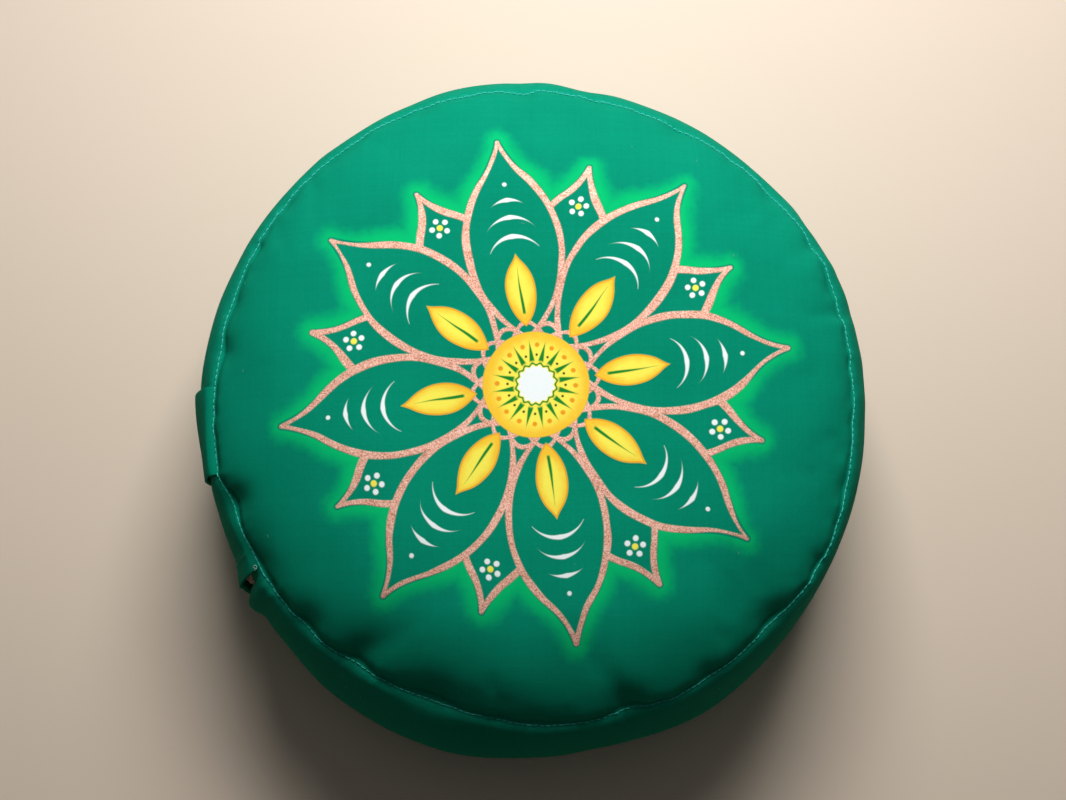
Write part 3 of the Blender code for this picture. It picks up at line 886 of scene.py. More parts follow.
def stitch_tree():
    """Stitches along a path, which carries the cloth's normal as its attribute out."""
    tree, path = new_tree("stitching", "Path", ("Pitch", "Stitch Length", "Thread", "Rise"), "Stitches")
    half, rise = path.other("Stitch Length") * 0.5, path.other("Rise")
    curve = path.node("GeometryNodeMeshToCurve", inputs={"Mesh": path})
    evenly = {"Curve": curve, "Length": path.other("Pitch")}
    steps = path.node("GeometryNodeResampleCurve", {"mode": "LENGTH"}, evenly)
    down = rise * -1.0
    ends = {"X": half * -1.0, "Z": down}, {"Z": rise}, {"X": half, "Z": down}
    stitch = bent_thread(*ends, path.other("Thread"), THREAD_SIDES)
    smooth = stitch.node("GeometryNodeSetShadeSmooth", inputs={"Geometry": stitch})
    tangent = path.node("GeometryNodeInputTangent")
    out = path.node("GeometryNodeInputNamedAttribute", {"data_type": "FLOAT_VECTOR"}, {"Name": "out"})
    along = path.node("FunctionNodeAlignRotationToVector", {"axis": "X"}, {"Vector": tangent})
    upright = {"axis": "Z", "pivot_axis": "X"}
    turned = path.node("FunctionNodeAlignRotationToVector", upright, {"Rotation": along, "Vector": out})
    sizes = {"Min": SMALLEST_STITCH, "Max": LARGEST_STITCH, "Seed": path.other("Seed")}
    size = path.node("FunctionNodeRandomValue", {"data_type": "FLOAT_VECTOR"}, sizes)
    placed = {"Points": steps, "Instance": smooth, "Rotation": turned, "Scale": size}
    end_tree(path.node("GeometryNodeInstanceOnPoints", inputs=placed), path, "Stitches")
    return tree


def made_plain(obj):
    """Replaces an object's mesh by what its modifiers make of it, and removes them."""
    graph = bpy.context.evaluated_depsgraph_get()
    mesh = bpy.data.meshes.new_from_object(obj.evaluated_get(graph))
    mesh.name = obj.name
    obj.modifiers.clear()
    obj.data = mesh
    return obj


def geometry_nodes(obj, tree, values):
    """Adds a Geometry Nodes modifier, sets its inputs by their sockets' identifiers, and applies it."""
    modifier = obj.modifiers.new(tree.name, "NODES")
    modifier.node_group = tree
    for item in tree.interface.items_tree:
        if item.in_out == "INPUT" and item.name in values:
            modifier[item.identifier] = values[item.name]
    return made_plain(obj)


def path_object(name, points, out, closed):
    """A line of points, each with the cloth's normal as its attribute out."""
    mesh = bpy.data.meshes.new(name)
    ends = [(k, k + 1) for k in range(len(points) - 1)] + ([(len(points) - 1, 0)] if closed else [])
    mesh.from_pydata(points.tolist(), ends, [])
    carried = mesh.attributes.new("out", "FLOAT_VECTOR", "POINT")
    carried.data.foreach_set("vector", out.astype(np.float32).ravel())
    return new_object(name, mesh)


STITCHING = stitch_tree()
print("stitching tree:", len(STITCHING.nodes), "nodes")

# %% [markdown]
# ## Thread, cloth and paint: the materials
#
# All the cotton is one plain weave, threads over and under each other about half a millimetre apart. Its
# height comes from two sines, one for each set of threads, and their product says which set is on top. The
# shade of green changes a little from thread to thread and in soft patches, as dyed cotton does. It is also
# painted darker in the dips of the weave, as shade, and where the seam stands proud a painted highlight makes
# it a little paler.

# %% The weave
THREAD_PITCH = 0.52 * MM
PITCH_CHANGE, PITCH_SCALE = 1.1, 160.0  # by how many threads the rows stray, and how often to the metre
DIP = 0.25  # how softly one set of threads dips under the other


def new_material(name):
    """A material, its empty wire and its shader."""
    material = bpy.data.materials.new(name)
    material.use_nodes = True
    tree = material.node_tree
    return material, Wire(tree), tree.nodes["Principled BSDF"]


def link(value, shader, name):
    """Leads a value to one of the shader's sockets."""
    value.tree.links.new(value.socket, shader.inputs[name])


def link_relief(height, shader):
    """Lays a height in metres on the shader's normal."""
    link(height.node("ShaderNodeBump", inputs={"Height": height, "Distance": 1.0}), shader, "Normal")


def noise(wire, vector, scale, detail=2.0, seed=0.0):
    """Smooth noise from about 0 to 1, of about scale features to the metre."""
    moved = wire.node("ShaderNodeMapping", inputs={"Vector": vector, "Location": (seed, seed, seed)})
    return wire.node("ShaderNodeTexNoise", inputs={"Vector": moved, "Scale": scale, "Detail": detail})


def weave(wire, place):
    """The height of the weave from 0 to 1, and a number for each thread, at a place in metres."""
    split = wire.node("ShaderNodeSeparateXYZ", inputs={0: place})
    uneven = (noise(wire, place, PITCH_SCALE) - 0.5) * PITCH_CHANGE
    across, along = split / THREAD_PITCH + uneven, split.other(1) / THREAD_PITCH - uneven
    warp, weft = (across * math.pi).sine(), (along * math.pi).sine()
    warp_on_top = (warp * weft).step(-DIP, DIP)
    height = warp_on_top.choose(abs(warp), abs(weft))
    whites = [
        wire.node("ShaderNodeTexWhiteNoise", {"noise_dimensions": "1D"}, {"W": count.math("FLOOR", count)})
        for count in (across, along)
    ]
    return height, warp_on_top.choose(*whites)


# %% [markdown]
# ## The rosette on the top
#
# A lotus rosette is painted on the top, free hand: eight large petals with drawn-out tips and eight more
# behind them, all in copper, a yellow leaf and three white arcs in each large one, a small blossom of dots
# in each one behind, and a yellow disc at the middle. It is drawn as distances. The place on the top is
# folded into one half petal, where a petal's edge is two arcs: a round one for the body, and one that bends
# the other way to the tip. The distance to an arc is a subtraction, and a stroke of paint is where that
# distance is small. All its sizes are in millimetres.

# %% Petals of two arcs
PETAL_STEP = math.radians(45)  # eight petals in each ring
ROSETTE_MIDDLE, ROSETTE_TURN = (1.4, 3.0), math.radians(9)


def lotus_petal(root, root_half, tip, widest, half_width, bend_at):
    """The circles of half a petal along +X, as (x, y, radius): its body's, and the bend's to its tip."""
    span = widest - root
    drop = (span**2 + root_half**2 - half_width**2) / (2 * (half_width - root_half))
    body = half_width + drop
    away = (bend_at - widest) / body
    rise = math.sqrt(1 - away * away)
    join = (widest + body * away, body * rise - drop)
    gap = (join[0] - tip, join[1])
    bend = -(gap[0] ** 2 + gap[1] ** 2) / (2 * (gap[0] * away + gap[1] * rise))
    bend_centre = (join[0] + bend * away, join[1] + bend * rise)
    return {"body": (widest, -drop, body), "bend": (*bend_centre, bend), "way": (away, rise), "tip": tip}


def length(x, y):
    """How long a line is that goes x along and y across."""
    return (x * x + y * y) ** 0.5


def petal_edge(x, y, petal):
    """Distance out from the petal's edge, for wires x along it and y away from its middle line."""
    body_x, body_y, body_radius = petal["body"]
    bend_x, bend_y, bend_radius = petal["bend"]
    away, rise = petal["way"]
    from_x, from_y = x - body_x, y - body_y
    body = length(from_x, from_y) - body_radius
    bend = bend_radius - length(x - bend_x, y - bend_y)
    past_join = (from_x * rise - from_y * away) > 0.0
    edge = past_join.choose(bend, body)
    return (x > petal["tip"]).choose(length(x - petal["tip"], y), edge)


def folded(angle, radius, step, start=0.0):
    """The place in one step of a ring that repeats, folded in half: along its middle, and away from it."""
    from_start = angle - start
    turned = from_start.math("WRAP", from_start, -step / 2, step / 2)
    return radius * turned.cosine(), abs(radius * turned.sine())


FRONT_PETAL = lotus_petal(root=24, root_half=2, tip=124, widest=68, half_width=23, bend_at=104)
BACK_PETAL = lotus_petal(root=24, root_half=2, tip=111, widest=62, half_width=20, bend_at=94)
print("petal:", FRONT_PETAL)

# %% [markdown]
# The paint goes on in a painter's order: a bright green halo brushed round the whole figure, the copper
# strokes, the leaves, the white, and the disc. Every mask is a stroke's distance turned into 0 or 1 with a
# soft step. The hand shows because the place itself wavers a little and the strokes swell and thin. The
# cells below hold each kind of stroke with its sizes, in millimetres out from the middle or out from an
# edge.

# %% Colours of the paint, and strokes
HALO_GREEN = (0.002, 0.53, 0.16)
COPPER_DARK, COPPER, COPPER_LIGHT = (0.52, 0.24, 0.16), (0.84, 0.43, 0.32), (0.97, 0.66, 0.54)
SPECKLE = [(0.36, COPPER_DARK), (0.46, COPPER), (0.55, COPPER), (0.66, COPPER_LIGHT)]
YELLOW, ORANGE, DEEP_ORANGE = (0.96, 0.86, 0.1), (0.94, 0.57, 0.04), (0.85, 0.34, 0.02)
WHITE_PAINT = (0.88, 0.95, 0.95)
FINE_GREEN, FINE_DARK = (0.01, 0.24, 0.03), (0.02, 0.045, 0.02)
SOFT = 0.35  # how far an edge of paint fades


def inside(distance):
    """A mask of 1 where a distance is below 0, with a soft edge."""
    return distance.step(SOFT, -SOFT)


def stroke(distance, half):
    """A mask of 1 within half of a line, with a soft edge."""
    return inside(abs(distance) - half)


def dot(x, y, at, size):
    """A round dot on the cloth at a place (along, away), in coordinates folded about the middle line."""
    return inside(length(x - at[0], y - at[1]) - size)


# %% Copper outlines
COPPER_HALF, COPPER_SWELL = 1.2, 1.6  # half a stroke, and how the hand varies it
MIDDLE_SWELL, SWELLS_OVER = 0.5, (30, 66)  # how much it swells, and between which distances from the middle
TIP_THIN, THINS_OVER = 0.8, (90, 122)  # how much it thins towards a tip
DISC_RADIUS = 25.5
SCALLOPS, SCALLOP_RISE, SCALLOP_OUT, SCALLOP_HALF = 16, 3.2, 1.8, 1.1  # small arches round the disc


def copper_strokes(front, back, radius, angle, press):
    """The outlines of both rings of petals, and the scallops round the disc."""
    half = press * COPPER_SWELL + radius.step(*SWELLS_OVER) * MIDDLE_SWELL + COPPER_HALF
    half = half - radius.step(*THINS_OVER) * TIP_THIN
    outlines = (inside(abs(back) - half) * (front > 0.0)).largest(inside(abs(front) - half))
    arches = abs((angle * (SCALLOPS / 2)).cosine()) * SCALLOP_RISE + (DISC_RADIUS + SCALLOP_OUT) - radius
    return outlines.largest(stroke(arches, SCALLOP_HALF)) * (radius > DISC_RADIUS)


# %% Leaves
LEAF = lotus_petal(root=29, root_half=0.5, tip=65, widest=46, half_width=7.5, bend_at=60.5)
LEAF_SHADE, LEAF_STREAKS = (-4.6, 0.6), 3.0  # over which distances a leaf's yellow turns to orange
ROOT_SHADE, ROOT_SHADE_OVER = 2.6, (46, 30)
LEAF_RIM, LEAF_RIM_HALF, LEAF_BODY = -0.4, 0.25, 0.5  # a fine line just inside its edge, and the raised rim
VEIN_START, VEIN_END, VEIN_HALF, VEIN_TAPERS = (34, 35.5), (60, 58), 0.75, (60, 38)


def leaves(colour, x, y, uneven):
    """A yellow leaf in each large petal, deeper at its rim and root, with a fine vein."""
    edge = petal_edge(x, y, LEAF)
    deeper = (edge + x.step(*ROOT_SHADE_OVER) * ROOT_SHADE + uneven * LEAF_STREAKS).step(*LEAF_SHADE)
    leaf = inside(edge)
    colour = leaf.paint(colour, deeper.paint(YELLOW, ORANGE))
    colour = stroke(edge - LEAF_RIM, LEAF_RIM_HALF).paint(colour, DEEP_ORANGE)
    vein = inside(y - x.step(*VEIN_TAPERS) * VEIN_HALF) * x.step(*VEIN_START) * x.step(*VEIN_END)
    return vein.paint(colour, FINE_GREEN), leaf.largest(stroke(edge, LEAF_BODY))


# %% White arcs and blossoms
ARCS, ARC_RADIUS = ((73.5, 12.0), (83.0, 9.6), (92.0, 6.8)), 14.0  # where each is, and how far it reaches
ARC_HALF = 1.15
TIP_DOT, TIP_DOT_RADIUS = (100.5, 0.0), 1.05
BLOSSOM_PLACE, BLOSSOM_RADIUS, BLOSSOM_DOTS = 90.0, 3.9, 5  # how far out its middle is, and its ring of dots
BLOSSOM_DOT_RADIUS, PISTIL_RADIUS = 1.35, 1.5


def white_work(x, y, back_x, back_y, front):
    """A dot and three arcs in each large petal, and five dots of a blossom in each petal behind."""
    white = dot(x, y, TIP_DOT, TIP_DOT_RADIUS)
    for place, reach in ARCS:
        line = abs(length(x - (place - ARC_RADIUS), y) - ARC_RADIUS)
        arc = inside(line + y * (ARC_HALF / reach) - ARC_HALF)
        white = white.largest(arc * (x > place - ARC_RADIUS / 2))
    for k in range(BLOSSOM_DOTS // 2 + 1):  # the rest lie across the middle line
        turn = k * math.tau / BLOSSOM_DOTS
        spot = (BLOSSOM_PLACE + BLOSSOM_RADIUS * math.cos(turn), BLOSSOM_RADIUS * math.sin(turn))
        white = white.largest(dot(back_x, back_y, spot, BLOSSOM_DOT_RADIUS) * (front > COPPER_HALF))
    return white


# %% The disc
GLOW_FROM, GLOW_STREAKS, GLOW_PRESS = (17.0, 25.0), 5.0, 3.0  # where the disc turns from yellow to orange
RAY_HALF, RAY_TAPER, RAY_START = 2.9, 0.14, (10.5, 12)  # sixteen green rays, slimmer outwards
ORANGE_DOT, ORANGE_DOT_RADIUS = (19.0, 0.0), 1.15
DARK_DOT, DARK_DOT_RADIUS = (14.2, 0.0), 0.6
HUB_RADIUS, HUB_WAVES, HUB_WAVE = 8.8, 16, 0.5
HUB_RING, HUB_RING_HALF = 1.0, 0.45


def disc_face(radius, angle, uneven, press):
    """The colour of the disc: yellow with an orange rim, green rays, orange dots and a white hub."""
    glow = (radius + uneven * GLOW_STREAKS + press * GLOW_PRESS).step(*GLOW_FROM)
    colour = glow.paint(YELLOW, ORANGE)
    ray_x, ray_y = folded(angle, radius, PETAL_STEP / 2)
    rays = inside(ray_y - (RAY_HALF - ray_x * RAY_TAPER)) * ray_x.step(*RAY_START)
    colour = rays.paint(colour, FINE_GREEN)
    between_x, between_y = folded(angle, radius, PETAL_STEP / 2, PETAL_STEP / 4)
    colour = dot(between_x, between_y, ORANGE_DOT, ORANGE_DOT_RADIUS).paint(colour, DEEP_ORANGE)
    colour = dot(between_x, between_y, DARK_DOT, DARK_DOT_RADIUS).paint(colour, FINE_DARK)
    hub = radius - HUB_RADIUS - (angle * float(HUB_WAVES)).cosine() * HUB_WAVE
    colour = stroke(hub - HUB_RING, HUB_RING_HALF).paint(colour, FINE_GREEN)
    return inside(hub).paint(colour, WHITE_PAINT)


# %% The halo
HALO_WIDTH, HALO_PLATEAU = 12.5, 1.5  # how far out it fades away, and how far it is full
HALO_FEATHER, HALO_SWAY = 6.0, 5.0  # how unevenly it ends, from bristle to bristle and along the brush's way
HALO_NARROWS, HALO_NARROWS_OVER = 3.0, (96, 124)  # how much narrower it is at the tips
HALO_BARE = (0.2, 1.0)  # the line left bare beside the copper


def halo_mask(edge, radius, uneven, press):
    """A brushed glow round the figure, from the distance to its outermost edge."""
    faded = edge + uneven * HALO_FEATHER - press * HALO_SWAY + radius.step(*HALO_NARROWS_OVER) * HALO_NARROWS
    return faded.step(HALO_WIDTH, HALO_PLATEAU) * edge.step(*HALO_BARE) * (radius > DISC_RADIUS)


# %% [markdown]
# Object coordinates are the place on the real cushion, so the rosette stays where it is painted. Three
# noises are the painter's hand: one shakes the place, one is how hard the brush is pressed, and one is the
# marks of its bristles. A fourth is the grain of the copper paint.

# %% The whole rosette
HAND_WAVER, HAND_SCALE = 2.2, 38.0
PRESS_SCALE, BRISTLE_SCALE, GRAIN_SCALE = 45.0, 260.0, 1500.0
HALO_STRENGTH, HALO_STREAKS, HALO_BODY = 0.9, 0.5, 0.35  # how strong, streaky and thick its paint is
GRAIN_DRIFT = 0.3  # how much the bristles' marks shift the copper's grain


def rosette(wire, under):
    """Paints over the colour under. Gives the new colour, and masks of all paint and of the copper."""
    spot = wire.node("ShaderNodeTexCoord", output="Object")
    split = wire.node("ShaderNodeSeparateXYZ", inputs={0: spot})
    hands = [noise(wire, spot, HAND_SCALE, detail=1.0, seed=seed) for seed in (3.1, 7.7)]
    shaky, shaky_too = ((hand - 0.5) * HAND_WAVER for hand in hands)
    x = split * (1 / MM) - ROSETTE_MIDDLE[0] + shaky
    y = split.other(1) * (1 / MM) - ROSETTE_MIDDLE[1] + shaky_too
    on_top = split.other(2) > 0.5 * SEAM_HEIGHT
    radius, angle = length(x, y), x.math("ARCTAN2", y, x) - ROSETTE_TURN
    press = noise(wire, spot, PRESS_SCALE, detail=1.0, seed=5.3) - 0.5
    grain = noise(wire, spot, GRAIN_SCALE, detail=1.0, seed=1.9)
    uneven = noise(wire, spot, BRISTLE_SCALE, detail=3.0, seed=9.1) - 0.5

    petal_x, petal_y = folded(angle, radius, PETAL_STEP)
    back_x, back_y = folded(angle, radius, PETAL_STEP, PETAL_STEP / 2)
    front = petal_edge(petal_x, petal_y, FRONT_PETAL)
    back = petal_edge(back_x, back_y, BACK_PETAL)

    halo = halo_mask(front.smallest(back) - COPPER_HALF, radius, uneven, press)
    colour = (halo * (uneven * HALO_STREAKS + HALO_STRENGTH)).paint(under, HALO_GREEN)
    copper = copper_strokes(front, back, radius, angle, press)
    flecked = {0: grain + uneven * GRAIN_DRIFT}
    colour = copper.paint(colour, grain.node("ShaderNodeValToRGB", {"stops": SPECKLE}, flecked))
    colour, leaf = leaves(colour, petal_x, petal_y, uneven)
    white = white_work(petal_x, petal_y, back_x, back_y, front)
    colour = white.paint(colour, WHITE_PAINT)
    pistil = dot(back_x, back_y, (BLOSSOM_PLACE, 0.0), PISTIL_RADIUS) * (front > COPPER_HALF)
    colour = pistil.paint(colour, YELLOW)
    disc = inside(radius - DISC_RADIUS)
    colour = disc.paint(colour, disc_face(radius, angle, uneven, press))

    paint = copper
    for mask in (leaf, white, pistil, disc, halo * HALO_BODY):
        paint = paint.largest(mask)
    return on_top.paint(under, colour), paint * on_top, copper * (1.0 - disc) * on_top


# %% [markdown]
# The finished cotton: the tone runs between a deep and a fuller green, the rosette goes on if the piece
# carries one, and the bump is the weave with the paint lying on it and filling it a little.

# %% Cotton and its paint
# The third green is a painted highlight on the seam's lip, where it stands proud.
COTTON_GREEN, COTTON_DEEP, LIP_HIGHLIGHT_GREEN = (0.002, 0.275, 0.166), (0.001, 0.215, 0.124), (0.012, 0.36, 0.26)
COTTON_ROUGHNESS, ROUGHNESS_CHANGE, COTTON_SPECULAR = 0.86, 0.08, 0.02
THREAD_RELIEF = 0.045 * MM
TONE, PATCH_TONE, FLECK_TONE, THREAD_AND_WEAVE_SHADE_TONE = 0.55, 0.9, 0.7, 0.35  # the mean, and how much each changes it
PATCH_SCALE, FLECK_SCALE = 26.0, 700.0
# Over which values the painted highlight on the lip sets in, how evenly it lies, and how strong it is.
LIP_HIGHLIGHT_OVER, LIP_HIGHLIGHT_EVENLY, LIP_HIGHLIGHT_SHARE = (0.25, 1.1), 0.6, 0.5
PAINT_THICKNESS, PAINT_FILLS = 0.09 * MM, 0.55  # the second is how much of the weave the paint fills
PAINT_ROUGHNESS, COPPER_METALLIC, COPPER_ROUGHNESS = 0.65, 0.12, 0.5


def cotton(name, with_rosette=False, tone_shift=0.0):
    """Green plain-weave cotton. A tone shift below 0 makes it deeper."""
    material, wire, shader = new_material(name)
    place = wire.node("ShaderNodeUVMap", {"uv_map": "cloth"})
    spot = wire.node("ShaderNodeTexCoord", output="Object")
    height, thread = weave(wire, place)
    patches = noise(wire, spot, PATCH_SCALE, detail=3.0) - 0.5
    flecks = noise(wire, spot, FLECK_SCALE, seed=4.0) - 0.5
    # Each thread's own tone, and painted shade: the tone follows the weave's height, darker in the dips
    # between threads.
    thread_tone_and_weave_shade = (thread - 0.5) * THREAD_AND_WEAVE_SHADE_TONE + (height - 0.5) * THREAD_AND_WEAVE_SHADE_TONE
    tone = patches * PATCH_TONE + flecks * FLECK_TONE + thread_tone_and_weave_shade + (TONE + tone_shift)
    colour = tone.node("ShaderNodeClamp", inputs={0: tone}).paint(COTTON_DEEP, COTTON_GREEN)
    lip = wire.node("ShaderNodeAttribute", {"attribute_name": "lip"}, output="Fac")
    # Painted highlight: the seam's lip, which stands proud, is painted paler as if lit.
    lip_highlight = (lip * (flecks + LIP_HIGHLIGHT_EVENLY)).step(*LIP_HIGHLIGHT_OVER) * LIP_HIGHLIGHT_SHARE
    colour = lip_highlight.paint(colour, LIP_HIGHLIGHT_GREEN)
    relief, roughness = height * THREAD_RELIEF, COTTON_ROUGHNESS + flecks * ROUGHNESS_CHANGE
    if with_rosette:
        colour, paint, copper = rosette(wire, colour)
        relief = relief * (1 - paint * PAINT_FILLS) + paint * PAINT_THICKNESS
        roughness = roughness - paint * (COTTON_ROUGHNESS - PAINT_ROUGHNESS)
        roughness = roughness - copper * (PAINT_ROUGHNESS - COPPER_ROUGHNESS)
        link(copper * COPPER_METALLIC, shader, "Metallic")
    link(colour, shader, "Base Color")
    link(roughness, shader, "Roughness")
    link_relief(relief, shader)
    shader.inputs["Specular IOR Level"].default_value = COTTON_SPECULAR
    return material


# %% Threads, and the inner cloth
FIBRE_RELIEF, FIBRE_SCALE, SLUB_AND_GLINT_SCALE = 0.06 * MM, 2500.0, 700.0
FIBRE_TURNS = (0.3, 0.7)  # between which values of the noise one colour turns to the other
FIBRE_ROUGHNESS, FIBRE_SMOOTHER = 0.85, 0.2


def fibre_material(name, low, high, scale=FIBRE_SCALE):
    """Fibres of two colours, as noise: fine for sewing thread, and coarse for the inner cloth, whose paler
    colour is partly a painted glint.
    """
    material, wire, shader = new_material(name)
    spot = wire.node("ShaderNodeTexCoord", output="Object")
    fibres = noise(wire, spot, scale)
    link(fibres.step(*FIBRE_TURNS).paint(low, high), shader, "Base Color")
    link(FIBRE_ROUGHNESS - fibres * FIBRE_SMOOTHER, shader, "Roughness")
    link_relief(fibres * FIBRE_RELIEF, shader)
    return material


TEAL_THREAD = fibre_material("teal_thread", (0.02, 0.42, 0.36), (0.06, 0.62, 0.55))
GREEN_THREAD = fibre_material("green_thread", (0.001, 0.16, 0.1), (0.004, 0.28, 0.19))
PALE_THREAD = fibre_material("pale_thread", (0.16, 0.34, 0.29), (0.3, 0.52, 0.45))
# The inner cloth is brown, and its pale patches are partly painted glints on its crumples.
BROWN_CLOTH = fibre_material("brown_cloth", (0.12, 0.07, 0.05), (0.5, 0.34, 0.28), SLUB_AND_GLINT_SCALE)
cushion.data.materials.append(cotton("painted_cotton", with_rosette=True))
strap.data.materials.append(cotton("strap_cotton", tone_shift=-0.1))
lap.data.materials.append(cotton("lap_cotton"))
inner_cloth.data.materials.append(BROWN_CLOTH)
print("painted cotton:", len(cushion.data.materials[0].node_tree.nodes), "nodes")

# %% [markdown]
# ## Sewing
#
# The path of a seam is its ring of the finished cover, which already waves in and out with the puckers.

# %% Sew the seams and the hem
SEAM_STITCH = {"Pitch": 3.1 * MM, "Stitch Length": 2.5 * MM, "Thread": 0.55 * MM, "Rise": 0.35 * MM}
HEM_STITCH = {"Pitch": 2.6 * MM, "Stitch Length": 1.9 * MM, "Thread": 0.32 * MM, "Rise": 0.12 * MM}
HEM_INSET, HEM_SUNK = 9.5 * MM, 0.2 * MM
HEM_SHARES, HEM_POINTS = (0.04, 0.96), 120  # how far up the band the hem's stitches run
THREAD_LIFT = 0.3 * MM


def sewn(name, points, out, closed, sizes, seed, thread):
    """Stitches along a line of points, standing up along out."""
    path = path_object(name, points + out * THREAD_LIFT, out, closed)
    obj = geometry_nodes(path, STITCHING, {**sizes, "Seed": seed, "Material": thread})
    print(name, len(obj.data.polygons), "faces")
    return obj


def sewn_seam(name, row, seed):
    """Stitches along one of the cover's two seams."""
    return sewn(name, shaped[row], cover_normals[row], True, SEAM_STITCH, seed, TEAL_THREAD)


def hem_path():
    """The line of the hem's stitches, and the way out of the cloth along it."""
    share = np.linspace(*HEM_SHARES, HEM_POINTS)
    angle = np.full(len(share), LAP_EDGE - math.degrees(HEM_INSET / UNROLL_RADIUS))
    points = on_band(angle, share, lap_outer(angle, share) - HEM_SUNK)
    lifted = on_band(angle, share, lap_outer(angle, share) + 1 * MM)
    out = (lifted - points) / np.linalg.norm(lifted - points, axis=1, keepdims=True)
    return points, out


cover_normals = grid_normals(shaped)
top_stitches = sewn_seam("top_seam_stitches", TOP_SEAM, 3)
base_stitches = sewn_seam("base_seam_stitches", BASE_SEAM, 5)
hem_stitches = sewn("lap_hem_stitches", *hem_path(), False, HEM_STITCH, 7, GREEN_THREAD)

# %% [markdown]
# Where the lap's free edge meets the top seam, the sewing ends in a small pale knot: a ring of thread with
# its two cut ends beside it. A bevelled curve draws each.

# %% The knot
KNOT_ANGLE, KNOT_DOWN, KNOT_LIFT = 211.2, 1.6 * MM, 1.3 * MM
KNOT_RADIUS, KNOT_THREAD, KNOT_TAIL = 0.85 * MM, 0.5 * MM, 1.3 * MM
TAIL_DOWN, TAIL_ASIDE = (1.0, -0.3), 0.4  # how the two ends run, down the cloth and along it
KNOT_POINTS, TAIL_POINTS = 25, 6


def knot_lines():
    """The ring and the two ends, as points on the cloth's slope."""
    share = 1 - KNOT_DOWN / BAND_LENGTH
    places = [(KNOT_ANGLE, share), (KNOT_ANGLE, share - 0.02), (KNOT_ANGLE + 1, share)]
    here, below, beside = (on_band(*np.array([[a], [s], [KNOT_LIFT]]))[0] for a, s in places)
    down = (below - here) / np.linalg.norm(below - here)
    side = (beside - here) / np.linalg.norm(beside - here)
    turns = np.linspace(0, 2 * np.pi, KNOT_POINTS)[:, None]
    ring = here + KNOT_RADIUS * (np.cos(turns) * side + np.sin(turns) * down)
    along = np.linspace(0, 1, TAIL_POINTS)[:, None]
    ends = [ring[0] + along * KNOT_TAIL * (down * lean + side * TAIL_ASIDE) for lean in TAIL_DOWN]
    return [ring, *ends]


def knot_object():
    """The knot as a mesh of round thread."""
    data = bpy.data.curves.new("thread_knot", "CURVE")
    data.dimensions, data.bevel_depth, data.bevel_resolution = "3D", KNOT_THREAD / 2, 2
    data.use_fill_caps = True
    for points in knot_lines():
        line = data.splines.new("POLY")
        line.points.add(len(points) - 1)
        for spot, point in zip(line.points, points):
            spot.co = (*point, 1.0)
    obj = new_object("knot_curve", data)
    mesh = bpy.data.meshes.new_from_object(obj.evaluated_get(bpy.context.evaluated_depsgraph_get()))
    bpy.data.objects.remove(obj)
    knot = add_piece("thread_knot", mesh)
    knot.data.materials.clear()
    knot.data.materials.append(PALE_THREAD)
    return knot


knot = knot_object()
print("knot:", len(knot.data.polygons), "faces")

# %% [markdown]
# ## Lint
#
# Dark cotton collects pale lint. A second small tree scatters a few bent fibres over the top and the upper
# part of the band, from a fixed seed, and lays each one on the cloth.

# %% Lint fibres
LINT_PER_AREA, LINT_SEED = 260.0, 8
LINT_LENGTH, LINT_THREAD, LINT_LOWEST = 1.5 * MM, 0.16 * MM, 60 * MM
LINT_SIZES, LINT_SIDES = (0.35, 1.3), 4  # the smallest and largest share, and how many sides a fibre has


def lint_tree():
    """Bent fibres scattered over a cloth, above a lowest height, each turned and sized at random."""
    tree, cloth = new_tree("lint", "Cloth", ("Density", "Fibre Length", "Thread", "Lowest"), "Fibres")
    seed, long = cloth.other("Seed"), cloth.other("Fibre Length")
    place = cloth.node("GeometryNodeInputPosition")
    high = cloth.node("ShaderNodeSeparateXYZ", inputs={0: place}, output=2) > cloth.other("Lowest")
    scatter = {"Mesh": cloth, "Selection": high, "Density": cloth.other("Density"), "Seed": seed}
    spots = cloth.node("GeometryNodeDistributePointsOnFaces", inputs=scatter)
    bend = {"Y": long * 0.45, "Z": long * 0.12}  # to one side and a little up
    ends = {"X": long * -0.5}, bend, {"X": long * 0.4, "Y": long * 0.1}
    fibre = bent_thread(*ends, cloth.other("Thread"), LINT_SIDES)

    def random_number(low, high):
        limits = {"Seed": seed, 2: low, 3: high}
        return cloth.node("FunctionNodeRandomValue", {"data_type": "FLOAT"}, limits, 1)

    turn = cloth.node("ShaderNodeCombineXYZ", inputs={"Z": random_number(0.0, math.tau)})
    flat = {"Rotation": spots.other("Rotation"), "Rotate By": turn}
    turned = cloth.node("FunctionNodeRotateRotation", {"rotation_space": "LOCAL"}, flat)
    placed = {"Points": spots, "Instance": fibre, "Rotation": turned, "Scale": random_number(*LINT_SIZES)}
    end_tree(cloth.node("GeometryNodeInstanceOnPoints", inputs=placed), cloth, "Fibres")
    return tree


lint = add_piece("lint_fibres", cushion.data.copy())
lint_values = {"Density": LINT_PER_AREA, "Fibre Length": LINT_LENGTH, "Thread": LINT_THREAD}
lint_values |= {"Lowest": LINT_LOWEST, "Seed": LINT_SEED, "Material": PALE_THREAD}
geometry_nodes(lint, lint_tree(), lint_values)
print("lint:", len(lint.data.polygons), "faces")

# %% [markdown]
# ## The floor and the light
#
# The light comes from the far side, at about 45 degrees and soft, so the far edge of the top is bright, the
# near edge falls into shade and the near side of the band is almost black. One soft lamp makes it, with a
# weak one overhead and a very dim world to fill the shade. The cushion lies on a plain pale floor.

# %% Stage
FLOOR_COLOUR, FLOOR_ROUGHNESS, FLOOR_REACH = (0.74, 0.62, 0.50), 0.6, 3.0
LIGHT_TARGET = (0, 0, 0.1)
DAYLIGHT = (1.0, 0.99, 0.98)


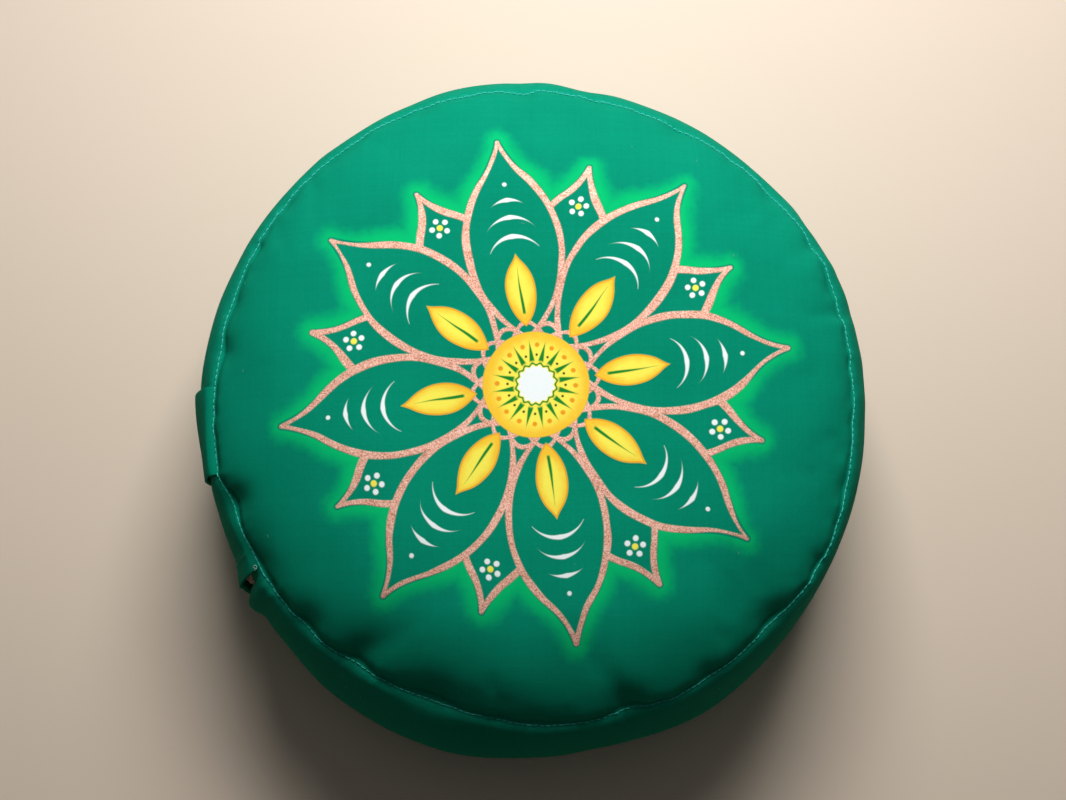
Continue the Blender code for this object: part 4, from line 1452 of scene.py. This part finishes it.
def add_floor():
    """A plain pale floor."""
    mesh = bpy.data.meshes.new("floor")
    corners = [(x * FLOOR_REACH, y * FLOOR_REACH, 0) for x, y in ((-1, -1), (1, -1), (1, 1), (-1, 1))]
    mesh.from_pydata(corners, [], [(0, 1, 2, 3)])
    floor = new_object("floor", mesh)
    material, _, shader = new_material("floor")
    shader.inputs["Base Color"].default_value = (*FLOOR_COLOUR, 1.0)
    shader.inputs["Roughness"].default_value = FLOOR_ROUGHNESS
    mesh.materials.append(material)


def add_lamp(name, place, size, power):
    """A soft lamp at a place, which shines on the cushion."""
    data = bpy.data.lights.new(name, "AREA")
    data.shape, data.energy, data.color = "RECTANGLE", power, DAYLIGHT
    data.size, data.size_y = size
    lamp = new_object(name, data)
    way = np.array(LIGHT_TARGET) - np.array(place)
    lamp.location = place
    flat = math.hypot(way[0], way[1])
    lamp.rotation_euler = (math.atan2(flat, -way[2]), 0, math.atan2(way[1], way[0]) - math.pi / 2)


def add_world(colour, strength):
    """A dim light from all sides."""
    world = bpy.data.worlds.new("studio")
    world.use_nodes = True
    background = world.node_tree.nodes["Background"]
    background.inputs["Color"].default_value = (*colour, 1.0)
    background.inputs["Strength"].default_value = strength
    bpy.context.scene.world = world


add_floor()
add_lamp("window", (0.07, 0.69, 0.83), (0.6, 0.4), 14.0)
add_lamp("overhead", (0.0, 0.1, 1.5), (1.0, 1.0), 1.2)
add_world((1.0, 0.98, 0.95), 0.02)
print("lamps:", [lamp.name for lamp in bpy.data.lights])

# %% [markdown]
# ## The one body
#
# Each piece rides on the one body, and the solid that it stands for, if there is one, is hidden.

# %% Ride, and hide the solids that the pieces stand for
pieces = {
    cushion: ("cotton_body", "cushion"),
    strap: ("cotton_strap", "carry_strap"),
    lap: ("cotton_lap", "closure_lap"),
    inner_cloth: ("inner_cloth", None),
    top_stitches: ("thread", None),
    base_stitches: ("thread", None),
    hem_stitches: ("thread", None),
    knot: ("thread", None),
    lint: ("thread", None),
}
for piece, (slot, solid) in pieces.items():
    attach(piece, "root")
    if solid:
        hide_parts(solid)
